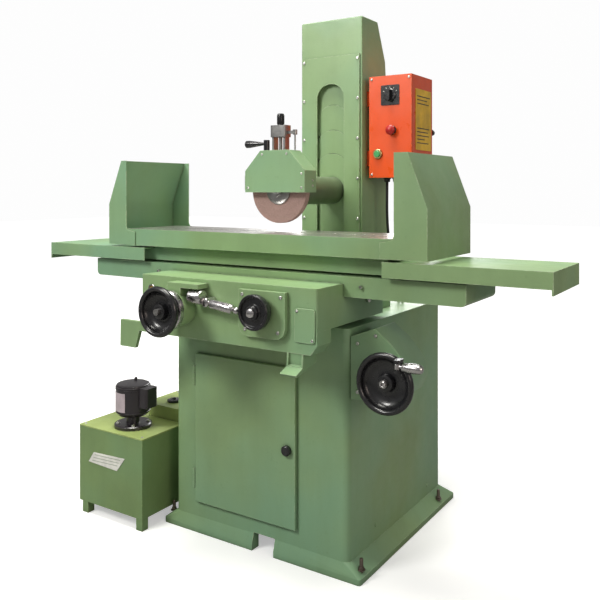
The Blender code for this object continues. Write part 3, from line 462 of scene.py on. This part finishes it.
def merge(name, parts):
    """Several separate shells as one object."""
    bm = bmesh.new()
    for part in parts:
        bm.from_mesh(part.data)
        bpy.data.objects.remove(part, do_unlink=True)
    mesh = bpy.data.meshes.new(name)
    bm.to_mesh(mesh)
    bm.free()
    return add_object(name, mesh)


def cut(obj, tool):
    """Takes the tool's shape out of the object and deletes the tool."""
    mod = obj.modifiers.new("cut", "BOOLEAN")
    mod.operation, mod.solver, mod.object = "DIFFERENCE", "EXACT", tool
    deps = bpy.context.evaluated_depsgraph_get()
    mesh = bpy.data.meshes.new_from_object(obj.evaluated_get(deps))
    obj.modifiers.clear()
    obj.data = mesh
    bpy.data.objects.remove(tool, do_unlink=True)
    return obj


def screw_head(axis, a, b, h, r, tall, out=-1):
    """Slotted pan head standing out of a face at height h; out is the sign of the way it faces."""
    top = h + out * tall
    head = lathe("head", axis, a, b, [(0, h), (r, h), (r, h + out * tall * 0.45), (r * 0.72, top),
                                      (0, top)], 20)
    slot = prism("slot", axis, [(a - r * 1.2, b - r * 0.13), (a + r * 1.2, b - r * 0.13),
                                (a + r * 1.2, b + r * 0.13), (a - r * 1.2, b + r * 0.13)],
                 top - out * tall * 0.35, top + out * tall)
    return cut(head, slot)


def hex_bolt(axis, a, b, h, r, tall, out=1):
    """Hexagon head on a washer, as two shells."""
    body = prism("hex", axis, ring_points(a, b, r, 6, 0.25), h, h + out * tall)
    washer = lathe("washer", axis, a, b,
                   [(0, h), (r * 1.35, h), (r * 1.35, h + out * tall * 0.18), (0, h + out * tall * 0.18)],
                   24)
    return [body, washer]


# ---------------------------------------------------------------- round parts at full smoothness
def handwheel(name, node, body, x, z, y_front, radius, y_back, bore, extra=()):
    """Dished solid wheel: thick polished rim, bowl and sunken hub."""
    rim = []
    for k in range(13):
        t = math.radians(200 - 220 * k / 12)
        rim.append((radius - 0.0075 + 0.0075 * math.cos(t), 0.0095 - 0.0095 * math.sin(t)))
    bowl = [(bore, 0.0100), (0.0175, 0.0100), (0.0205, 0.0112), (0.0220, 0.0140), (0.0226, 0.0235),
            (0.0245, 0.0268), (0.0290, 0.0276), (radius * 0.5 + 0.006, 0.0262), (radius - 0.0230, 0.0215),
            (radius - 0.0180, 0.0165), (radius - 0.0155, 0.0110)]
    back = [(radius - 0.0060, 0.0210), (radius - 0.0120, 0.0235), (radius - 0.0220, 0.0262), (0.0345, 0.0352),
            (0.0230, 0.0368)]
    profile = [(r, y_front + y) for r, y in bowl + rim + back] + [(0.0220, y_front + 0.0380),
                                                                  (0.0220, y_back), (bore, y_back)]
    wheel = merge(name, [lathe("disc", "Y", x, z, profile, 96), *extra])
    finish_mesh(wheel, "black", body)
    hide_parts(node)


CRANK_X, CRANK_Z, CRANK_R = 0.438, 0.557, 0.080
TRAV_X, TRAV_Z = -0.144, 0.716
FEED_X, FEED_Z = 0.142, 0.733
AXIS = 1.048                                   # spindle height
PIN_X, PIN_Y, PIN_Z = 0.485, -0.0665, 0.612      # hinge pin of the elevating wheel's folding grip

handwheel("traverse_wheel", "traverse_handwheel", "traverse", TRAV_X, TRAV_Z, -0.262, 0.070, -0.206, 0.0093)
ears = []
for z in (PIN_Z + 0.0080, PIN_Z - 0.0163):
    ear = prism("ear", "Z", rounded(PIN_X - 0.0078, PIN_X + 0.0078, PIN_Y - 0.0078, -0.0420, 0.0060, 6), z,
                z + 0.0083)
    hole = prism("hole", "Z", ring_points(PIN_X, PIN_Y, 0.00375, 20), z - 0.01, z + 0.02)
    ears.append(cut(ear, hole))
handwheel("elevation_wheel", "elevation_handwheel", "crank", CRANK_X, CRANK_Z, -0.052, CRANK_R, 0.0095,
          0.0103, ears)

grip = lathe("grip", "X", PIN_Y, PIN_Z,
             [(0, PIN_X + 0.002), (0.0044, PIN_X + 0.002), (0.0044, PIN_X + 0.0125),
              (0.0080, PIN_X + 0.0132), (0.0098, PIN_X + 0.0150), (0.0104, PIN_X + 0.0190),
              (0.0118, PIN_X + 0.0270), (0.0125, PIN_X + 0.0360), (0.0124, PIN_X + 0.0500),
              (0.0116, PIN_X + 0.0590), (0.0098, PIN_X + 0.0645), (0.0065, PIN_X + 0.0675),
              (0, PIN_X + 0.0680)], 64)
knuckle = lathe("knuckle", "Z", PIN_X, PIN_Y,
                [(0, PIN_Z - 0.0071), (0.0068, PIN_Z - 0.0071), (0.0076, PIN_Z - 0.0060),
                 (0.0076, PIN_Z + 0.0060), (0.0068, PIN_Z + 0.0071), (0, PIN_Z + 0.0071)], 40)
pin = lathe("pin", "Z", PIN_X, PIN_Y,
            [(0, PIN_Z - 0.0165), (0.0034, PIN_Z - 0.0165), (0.0034, PIN_Z + 0.0160), (0, PIN_Z + 0.0170)],
            24)
grip = merge("elevation_grip", [grip, knuckle, pin])
finish_mesh(grip, "chrome", "crank_handle")
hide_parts("elevation_handle")

dial = lathe("crossfeed_wheel", "Y", FEED_X, FEED_Z,
             [(0.0085, -0.214), (0.0155, -0.214), (0.0185, -0.2115), (0.0190, -0.204), (0.0215, -0.2015),
              (0.0365, -0.2010), (0.0385, -0.2055), (0.0405, -0.2080), (0.0450, -0.2080), (0.0468, -0.2060),
              (0.0470, -0.2020), (0.0470, -0.1925), (0.0455, -0.1885), (0.0345, -0.1885), (0.0340, -0.1700),
              (0.0085, -0.1700)], 96)
finish_mesh(dial, "black", "crossfeed", 0.0006)
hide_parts("crossfeed_handwheel")

wheel = lathe("wheel_disc", "Y", 0, AXIS,
              [(0.0163, 0.1212), (0.0985, 0.1212), (0.0998, 0.1222), (0.1000, 0.1240), (0.1000, 0.1382),
               (0.0998, 0.1400), (0.0985, 0.1410), (0.0163, 0.1410)], 160)
finish_mesh(wheel, "abrasive", "spindle")
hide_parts("grinding_wheel")

front_flange = lathe("front_flange", "Y", 0, AXIS,
                     [(0.0121, 0.1125), (0.0300, 0.1125), (0.0370, 0.1135), (0.0425, 0.1165),
                      (0.0430, 0.1185), (0.0430, 0.1209), (0.0121, 0.1209)], 96)
finish_mesh(front_flange, "dull_chrome", "spindle")
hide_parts("wheel_flange_front")

housing = lathe("spindle_sleeve", "Y", 0, AXIS,
                [(0.0245, 0.1612), (0.0400, 0.1612), (0.0440, 0.1622), (0.0460, 0.1655), (0.0460, 0.2300),
                 (0.0448, 0.2310), (0.0448, 0.2330), (0.0460, 0.2340), (0.0460, 0.4792), (0.0280, 0.4792),
                 (0.0280, 0.1740), (0.0245, 0.1740)], 96)
finish_mesh(housing, "dark", "head")
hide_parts("spindle_housing")

HUB_X, HUB_Z, BALL_X, BALL_Z = -0.0300, 0.7425, 0.0725, 0.7290
length, slope = math.hypot(BALL_X - HUB_X, BALL_Z - HUB_Z), math.atan2(BALL_Z - HUB_Z, BALL_X - HUB_X)
hub = lathe("hub", "Y", HUB_X, HUB_Z,
            [(0, -0.1920), (0.0095, -0.1920), (0.0118, -0.1905), (0.0125, -0.1880), (0.0125, -0.1560),
             (0.0118, -0.1533), (0, -0.1533)], 48)
arm = lathe("arm", "X", 0, 0, [(0, 0), (0.0080, 0), (0.0080, length * 0.10), (0.0108, length * 0.115),
                               (0.0125, length * 0.15), (0.0135, length * 0.20), (0.0135, length * 0.80),
                               (0.0130, length * 0.83), (0.0112, length * 0.875), (0.0052, length * 0.895),
                               (0.0055, length * 0.915), (0.0080, length * 0.94), (0.0096, length * 0.975),
                               (0.0098, length * 1.01), (0.0085, length * 1.045), (0.0052, length * 1.073),
                               (0, length * 1.08)], 64)
arm.data.transform(Matrix.Translation((0, -BACK, 0)))
arm.data.transform(Matrix.Rotation(-slope, 4, "Y"))
arm.data.transform(Matrix.Translation((HUB_X, -0.182 + BACK, HUB_Z)))
lever = merge("ball_lever", [hub, arm])
finish_mesh(lever, "chrome", "lock_lever")
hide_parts("table_lock_lever")


# ---------------------------------------------------------------- fittings on the pedestal and column
heads = []
for x in (-0.105, 0.105):
    for k in range(5):
        heads.append(screw_head("Y", x, 1.490 - 0.134 * k, 0.4293, 0.0052, 0.0026))
finish_mesh(merge("face_plate_screws", heads), "steel", "base", 0.0003)

# thin dark strips just above each slot cover's arch, lying on the cover behind: painted shadow where one
# cover overlaps the next
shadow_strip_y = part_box("slot_cover_head")[0].y - BACK
for name, body, top, y in (("cover_shadow_strip_1", "head", 1.1735, shadow_strip_y + 0.0019),
                           ("cover_shadow_strip_2", "slot_cover_1", 1.254, shadow_strip_y + 0.0044),
                           ("cover_shadow_strip_3", "slot_cover_2", 1.340, shadow_strip_y + 0.0065)):
    arch = [(0.0615 * math.cos(t), top - 0.0605 + 0.0620 * math.sin(t))
            for t in (math.radians(6 * k) for k in range(31))]
    foot = [(-a, b - 0.0030) for a, b in arch]
    finish_mesh(prism(name, "Y", arch + foot, y, y + 0.0004), "painted_seam_shadow", body)

bolts = []
for x, y in ((0.337, 0.022), (0.337, 0.560), (-0.337, 0.022), (-0.337, 0.560)):
    bolts += hex_bolt("Z", x, y, FOOT_TOP + 0.013, 0.0085, 0.0080)
    bolts.append(lathe("stud", "Z", x, y, [(0, FOOT_TOP), (0.0052, FOOT_TOP), (0.0052, FOOT_TOP + 0.042),
                                           (0.0042, FOOT_TOP + 0.044), (0, FOOT_TOP + 0.044)], 24))
finish_mesh(merge("levelling_screws", bolts), "rust", "base", 0.0005)
side_plugs = [screw_head("X", y, z, 0.3098, 0.0065, 0.0022, 1) for y, z in ((0.160, 0.090), (0.530, 0.080))]
finish_mesh(merge("side_plugs", side_plugs), "green", "base", 0.0003)

DOOR_HINGE = (-0.2268, -0.0066)                # its pins' X and Y
hinges = []
for z in (0.165, 0.480):
    for k in range(3):
        z0 = z - 0.027 + 0.0185 * k
        hinges.append(lathe("knuckle", "Z", *DOOR_HINGE,
                            [(0, z0), (0.0062, z0), (0.0062, z0 + 0.0178), (0, z0 + 0.0178)], 28))
    hinges.append(lathe("pin", "Z", *DOOR_HINGE,
                        [(0, z - 0.030), (0.0030, z - 0.030), (0.0030, z + 0.031), (0, z + 0.031)], 20))
finish_mesh(merge("door_hinges", hinges), "green", "base", 0.0005)

collar = lathe("elevation_collar", "Y", CRANK_X, CRANK_Z,
               [(0.0106, -0.0160), (0.0300, -0.0160), (0.0330, -0.0140), (0.0330, 0.0030), (0.0380, 0.0050),
                (0.0380, 0.0098), (0.0106, 0.0098)], 72)
finish_mesh(collar, "chrome", "base", 0.0004)
hub_ring = lathe("elevation_hub_ring", "Y", CRANK_X, CRANK_Z,
                 [(0.0045, -0.0560), (0.0078, -0.0560), (0.0085, -0.0550), (0.0085, -0.0523),
                  (0.0045, -0.0523)], 48)
finish_mesh(hub_ring, "chrome", "crank", 0.0003)
housing_screws = [screw_head("Y", x, z, 0.0098, 0.0050, 0.0028)
                  for x, z in ((0.332, 0.508), (0.332, 0.638), (0.386, 0.664))]
finish_mesh(merge("housing_screws", housing_screws), "steel", "base", 0.0003)

# ---------------------------------------------------------------- control box
BOX_X0, BOX_X1, BOX_Y0, BOX_Y1, BOX_Z0, BOX_Z1 = 0.140, 0.292, 0.447, 0.619, 1.09, 1.424
SWITCH_X, SWITCH_Z = 0.2165, 1.3595
START_X, START_Z = 0.172, 1.168
STOP_X, STOP_Z = 0.224, 1.2445
plate = prism("switch_plate", "Y", rounded(0.1835, 0.2495, 1.3265, 1.3925, 0.004), BOX_Y0 - 0.0016,
              BOX_Y0 - 0.0003)
cut(plate, lathe("hole", "Y", SWITCH_X, SWITCH_Z,
                 [(0, BOX_Y0 - 0.01), (0.0090, BOX_Y0 - 0.01), (0.0090, BOX_Y0 + 0.01), (0, BOX_Y0 + 0.01)],
                 32))
finish_mesh(plate, "black", "box_cover", 0.0003)
ticks = []
for k in range(5):
    mark = radial_mark(SWITCH_X, SWITCH_Z, math.radians(30 + 30 * k), 0.0235, 0.0285, 0.0008)
    ticks.append(prism("tick", "Y", mark, BOX_Y0 - 0.0019, BOX_Y0 - 0.0016))
finish_mesh(merge("switch_ticks", ticks), "plate", "box_cover")
bezel = lathe("start_bezel", "Y", START_X, START_Z,
              [(0.0113, BOX_Y0 - 0.0060), (0.0150, BOX_Y0 - 0.0060), (0.0165, BOX_Y0 - 0.0045),
               (0.0165, BOX_Y0 - 0.0003), (0.0113, BOX_Y0 - 0.0003)], 56)
finish_mesh(bezel, "brass", "box_cover", 0.0004)
bezel = lathe("stop_bezel", "Y", STOP_X, STOP_Z,
              [(0.0084, BOX_Y0 - 0.0040), (0.0130, BOX_Y0 - 0.0040), (0.0145, BOX_Y0 - 0.0028),
               (0.0145, BOX_Y0 - 0.0003), (0.0084, BOX_Y0 - 0.0003)], 56)
finish_mesh(bezel, "black", "box_cover", 0.0004)
cover_screws = [screw_head("Y", x, z, BOX_Y0 - 0.0002, 0.0042, 0.0022)
                for x in (BOX_X0 + 0.009, BOX_X1 - 0.009) for z in (BOX_Z0 + 0.010, BOX_Z1 - 0.010)]
finish_mesh(merge("cover_screws", cover_screws), "steel", "box_cover", 0.0002)
label = prism("side_panel", "X", rounded(0.478, 0.604, 1.180, 1.380, 0.004), BOX_X1 + 0.0002, BOX_X1 + 0.0014)
finish_mesh(label, "label", "base", 0.0002)
bars = [prism("bar", "X", rounded(0.488, 0.488 + w, z, z + 0.0030, 0.001, 2), BOX_X1 + 0.0014,
              BOX_X1 + 0.0017) for z, w in ((1.355, 0.104), (1.343, 0.080), (1.331, 0.094), (1.250, 0.100),
                                            (1.238, 0.088), (1.226, 0.096), (1.214, 0.060), (1.202, 0.092))]
finish_mesh(merge("panel_bars", bars), "ink", "base")
gland = lathe("side_gland", "Y", 0.296 - 0.014, 1.245,
              [(0, BOX_Y1 + 0.0002), (0.0120, BOX_Y1 + 0.0002), (0.0120, BOX_Y1 + 0.009),
               (0.0095, BOX_Y1 + 0.012), (0.0095, BOX_Y1 + 0.022), (0.0070, BOX_Y1 + 0.024),
               (0, BOX_Y1 + 0.024)], 40)
finish_mesh(gland, "black", "base", 0.0004)
glands = []
for x in (0.180, 0.212):
    glands.append(lathe("gland", "Z", x, 0.500,
                        [(0.0053, BOX_Z0 - 0.0140), (0.0085, BOX_Z0 - 0.0140), (0.0100, BOX_Z0 - 0.0110),
                         (0.0100, BOX_Z0 - 0.0040), (0.0125, BOX_Z0 - 0.0040), (0.0125, BOX_Z0 - 0.0003),
                         (0.0053, BOX_Z0 - 0.0003)], 36))
finish_mesh(merge("cable_glands", glands), "black", "base", 0.0003)

# ---------------------------------------------------------------- saddle
cover = prism("apron_cover", "Y", rounded(0.238, 0.300, 0.660, 0.748, 0.008), -0.1562, -0.1532)
finish_mesh(cover, "green", "saddle", 0.0008)
screws = [screw_head("Y", 0.246, 0.740, -0.1560, 0.0042, 0.0022),
          screw_head("Y", 0.292, 0.668, -0.1560, 0.0042, 0.0022)]
screws += [screw_head("Y", x, z, -0.1678, 0.0050, 0.0026)
           for x, z in ((FEED_X - 0.062, 0.772), (FEED_X + 0.062, 0.772), (FEED_X - 0.053, 0.680),
                        (FEED_X + 0.053, 0.680))]
finish_mesh(merge("apron_screws", screws), "steel", "saddle", 0.0002)
collar = lathe("traverse_collar", "Y", TRAV_X, TRAV_Z,
               [(0.0240, -0.2240), (0.0520, -0.2240), (0.0555, -0.2215), (0.0560, -0.2190),
                (0.0560, -0.2085), (0.0540, -0.2060), (0.0500, -0.2048), (0.0240, -0.2048)], 84)
finish_mesh(collar, "chrome", "saddle")
DIAL_FRONT = -0.1865
scale_ring = []
for k in range(60):
    tall = 0.0100 if k % 5 == 0 else 0.0060
    mark = radial_mark(FEED_X, FEED_Z, 2 * math.pi * k / 60, 0.0338, 0.03425, 0.00022)
    scale_ring.append(prism("mark", "Y", mark, DIAL_FRONT, DIAL_FRONT + tall))
finish_mesh(merge("dial_marks", scale_ring), "plate", "crossfeed")
knob = lathe("crossfeed_cap", "Y", FEED_X, FEED_Z,
             [(0, -0.2215), (0.0070, -0.2210), (0.0110, -0.2190), (0.0125, -0.2160), (0.0125, -0.2142),
              (0, -0.2142)], 48)
finish_mesh(knob, "chrome", "crossfeed")
oilers = []
for x in (0.36, -0.36):
    oilers.append(lathe("oiler", "Y", x, 0.794,
                        [(0, -0.0290), (0.0040, -0.0285), (0.0055, -0.0260), (0.0055, -0.0203),
                         (0, -0.0203)], 28))
oilers.append(lathe("plug", "X", 0.115, 0.742,
                    [(0, 0.3152), (0.0060, 0.3150), (0.0085, 0.3135), (0.0085, 0.3053), (0, 0.3053)], 32))
finish_mesh(merge("oil_cups", oilers), "chrome", "saddle")
SIGHT_X, SIGHT_Z = -0.262, 0.760
glass = lathe("oil_sight", "Y", SIGHT_X, SIGHT_Z,
              [(0, -0.1555), (0.0090, -0.1555), (0.0090, -0.1532), (0, -0.1532)], 40)
finish_mesh(glass, "glass", "saddle")
rim = lathe("oil_sight_rim", "Y", SIGHT_X, SIGHT_Z,
            [(0.0092, -0.1575), (0.0125, -0.1575), (0.0135, -0.1560), (0.0135, -0.1532), (0.0092, -0.1532)],
            40)
finish_mesh(rim, "chrome", "saddle")

# ---------------------------------------------------------------- wheel guard and dresser
guard_screws = [screw_head("X", 0.140, z, 0.1094, 0.0034, 0.0020, 1) for z in (1.078, 1.062)]
guard_screws += [screw_head("Y", x, z, 0.0951, 0.0036, 0.0020)
                 for x, z in ((0.098, 1.056), (0.098, 1.098), (-0.098, 1.056), (0.045, 1.158),
                              (-0.045, 1.158))]
side, front = merge("guard_side_screws", guard_screws[:2]), merge("guard_cover_screws", guard_screws[2:])
finish_mesh(side, "steel", "head", 0.0002)
finish_mesh(front, "steel", "guard_door", 0.0002)
hinge = [lathe("knuckle", "Z", -0.1095, 0.0985,
               [(0, z), (0.0028, z), (0.0028, z + 0.0140), (0, z + 0.0140)], 20)
         for z in (1.050, 1.0648, 1.0796)]
finish_mesh(merge("guard_hinge", hinge), "steel", "head", 0.0002)
DRESSER_Y = 0.131
thread = [lathe("thread", "Z", 0.0525, DRESSER_Y, [(0.0021, z), (0.0029, z + 0.0006), (0.0021, z + 0.0012)],
                20) for z in [1.1745 + 0.0022 * k for k in range(18)]]
finish_mesh(merge("stop_thread", thread), "chrome", "head")
KNURL_R = 0.0106
flutes = []
for k in range(20):
    t = 2 * math.pi * k / 20
    flutes.append(lathe("flute", "Z", KNURL_R * math.cos(t), DRESSER_Y + KNURL_R * math.sin(t),
                        [(0, 1.2515), (0.0009, 1.2515), (0.0009, 1.2780), (0, 1.2780)], 8))
finish_mesh(merge("dresser_knurl", flutes), "black", "dresser_knob")

# ---------------------------------------------------------------- coolant tank and pump
TANK_X0, TANK_X1, TANK_Y0, TANK_Y1, TANK_TOP = -0.640, -0.357, -0.10, 0.37, 0.283
PUMP_X, PUMP_Y, PUMP_Z = -0.480, -0.0176, 0.2833
HOOD_X, HOOD_Y, HOOD_TOP = -0.455, 0.150, 0.325
fitting = lathe("return_fitting", "Z", HOOD_X, HOOD_Y,
                [(0, HOOD_TOP + 0.0002), (0.0230, HOOD_TOP + 0.0002), (0.0240, HOOD_TOP + 0.0015),
                 (0.0240, HOOD_TOP + 0.0060), (0.0220, HOOD_TOP + 0.0080), (0.0080, HOOD_TOP + 0.0095),
                 (0.0070, HOOD_TOP + 0.0130), (0, HOOD_TOP + 0.0140)], 48)
finish_mesh(fitting, "black", "base", 0.0006)
tag_y = TANK_Y0 - 0.0003
tag = prism("tank_label", "Y", [(-0.572, 0.2035), (-0.431, 0.2093), (-0.4665, 0.1644), (-0.5958, 0.1697)],
            tag_y - 0.0013, tag_y)
finish_mesh(tag, "tag", "base", 0.0003)
lines = [prism("line", "Y", [(-0.566 - d, 0.198 - e), (-0.450 - d, 0.2025 - e), (-0.451 - d, 0.2000 - e),
                             (-0.567 - d, 0.1955 - e)], tag_y - 0.0016, tag_y - 0.0013)
         for d, e in ((0.0, 0.0), (0.006, 0.010), (0.012, 0.020))]
finish_mesh(merge("tank_label_lines", lines), "faint", "base")

BODY_R = 0.0550                                # pump motor
arc = [math.radians(200 + 5.5 * k) for k in range(17)]
wrap = [(PUMP_X + (BODY_R + 0.0011) * math.cos(t), PUMP_Y + (BODY_R + 0.0011) * math.sin(t)) for t in arc]
wrap += [(PUMP_X + (BODY_R - 0.0004) * math.cos(t), PUMP_Y + (BODY_R - 0.0004) * math.sin(t))
         for t in reversed(arc)]
name_plate = prism("pump_label", "Z", wrap, PUMP_Z + 0.056, PUMP_Z + 0.116)
finish_mesh(name_plate, "pump_plate", "base", 0.0002)
ribs = [lathe("rib", "Z", PUMP_X, PUMP_Y,
              [(BODY_R - 0.001, PUMP_Z + h), (BODY_R + 0.0012, PUMP_Z + h + 0.0008),
               (BODY_R + 0.0012, PUMP_Z + h + 0.0026), (BODY_R - 0.001, PUMP_Z + h + 0.0034)], 96)
        for h in (0.050, 0.123, 0.129)]
finish_mesh(merge("pump_ribs", ribs), "pump", "base")
pump_bolts = []
for k in range(4):
    t = math.radians(45 + 90 * k)
    pump_bolts += hex_bolt("Z", PUMP_X + 0.047 * math.cos(t), PUMP_Y + 0.047 * math.sin(t), PUMP_Z + 0.0121,
                           0.0050, 0.0050)
finish_mesh(merge("pump_bolts", pump_bolts), "steel", "base", 0.0003)
eye = lathe("lift_eye", "Z", PUMP_X - 0.018, PUMP_Y + 0.030,
            [(0, PUMP_Z + 0.1395), (0.0050, PUMP_Z + 0.1395), (0.0050, PUMP_Z + 0.1460),
             (0.0035, PUMP_Z + 0.1485), (0, PUMP_Z + 0.1490)], 24)
finish_mesh(eye, "pump", "base")
lid_screws = [screw_head("Z", x, y, TANK_TOP - 0.0001, 0.0040, 0.0022, 1)
              for x in (TANK_X0 + 0.014, TANK_X1 - 0.014)
              for y in (TANK_Y0 + 0.014, TANK_Y1 - 0.014, 0.135)]
finish_mesh(merge("lid_screws", lid_screws), "steel", "base", 0.0002)

# ---------------------------------------------------------------- floor
bpy.ops.mesh.primitive_plane_add(size=40, location=(0, 0, 0))
floor = bpy.context.object
floor.name = "floor"
s = Shader("pale_floor")
s.bsdf.inputs["Base Color"].default_value = (0.80, 0.80, 0.80, 1)
s.bsdf.inputs["Roughness"].default_value = 0.9
s.bsdf.inputs["Specular IOR Level"].default_value = 0.0
s.bsdf.inputs["Emission Color"].default_value = (1.0, 1.0, 1.0, 1)
away = s.add("ShaderNodeVectorMath", operation="LENGTH")
s.link(s.coord, away.inputs[0])
s.link(s.range(away.outputs["Value"], 0.42, 0.86, 1.3, 4.0), s.bsdf.inputs["Emission Strength"])
# the floor as the machine sees it, which lights it less from below
bounce = s.add("ShaderNodeBsdfDiffuse")
bounce.inputs["Color"].default_value = (0.26, 0.26, 0.25, 1)
ray = s.add("ShaderNodeLightPath")
either = s.add("ShaderNodeMixShader")
s.link(ray.outputs["Is Camera Ray"], either.inputs["Fac"])
s.link(bounce.outputs["BSDF"], either.inputs[1])
s.link(s.bsdf.outputs["BSDF"], either.inputs[2])
s.link(either.outputs["Shader"], s.tree.nodes["Material Output"].inputs["Surface"])
floor.data.materials.append(s.mat)
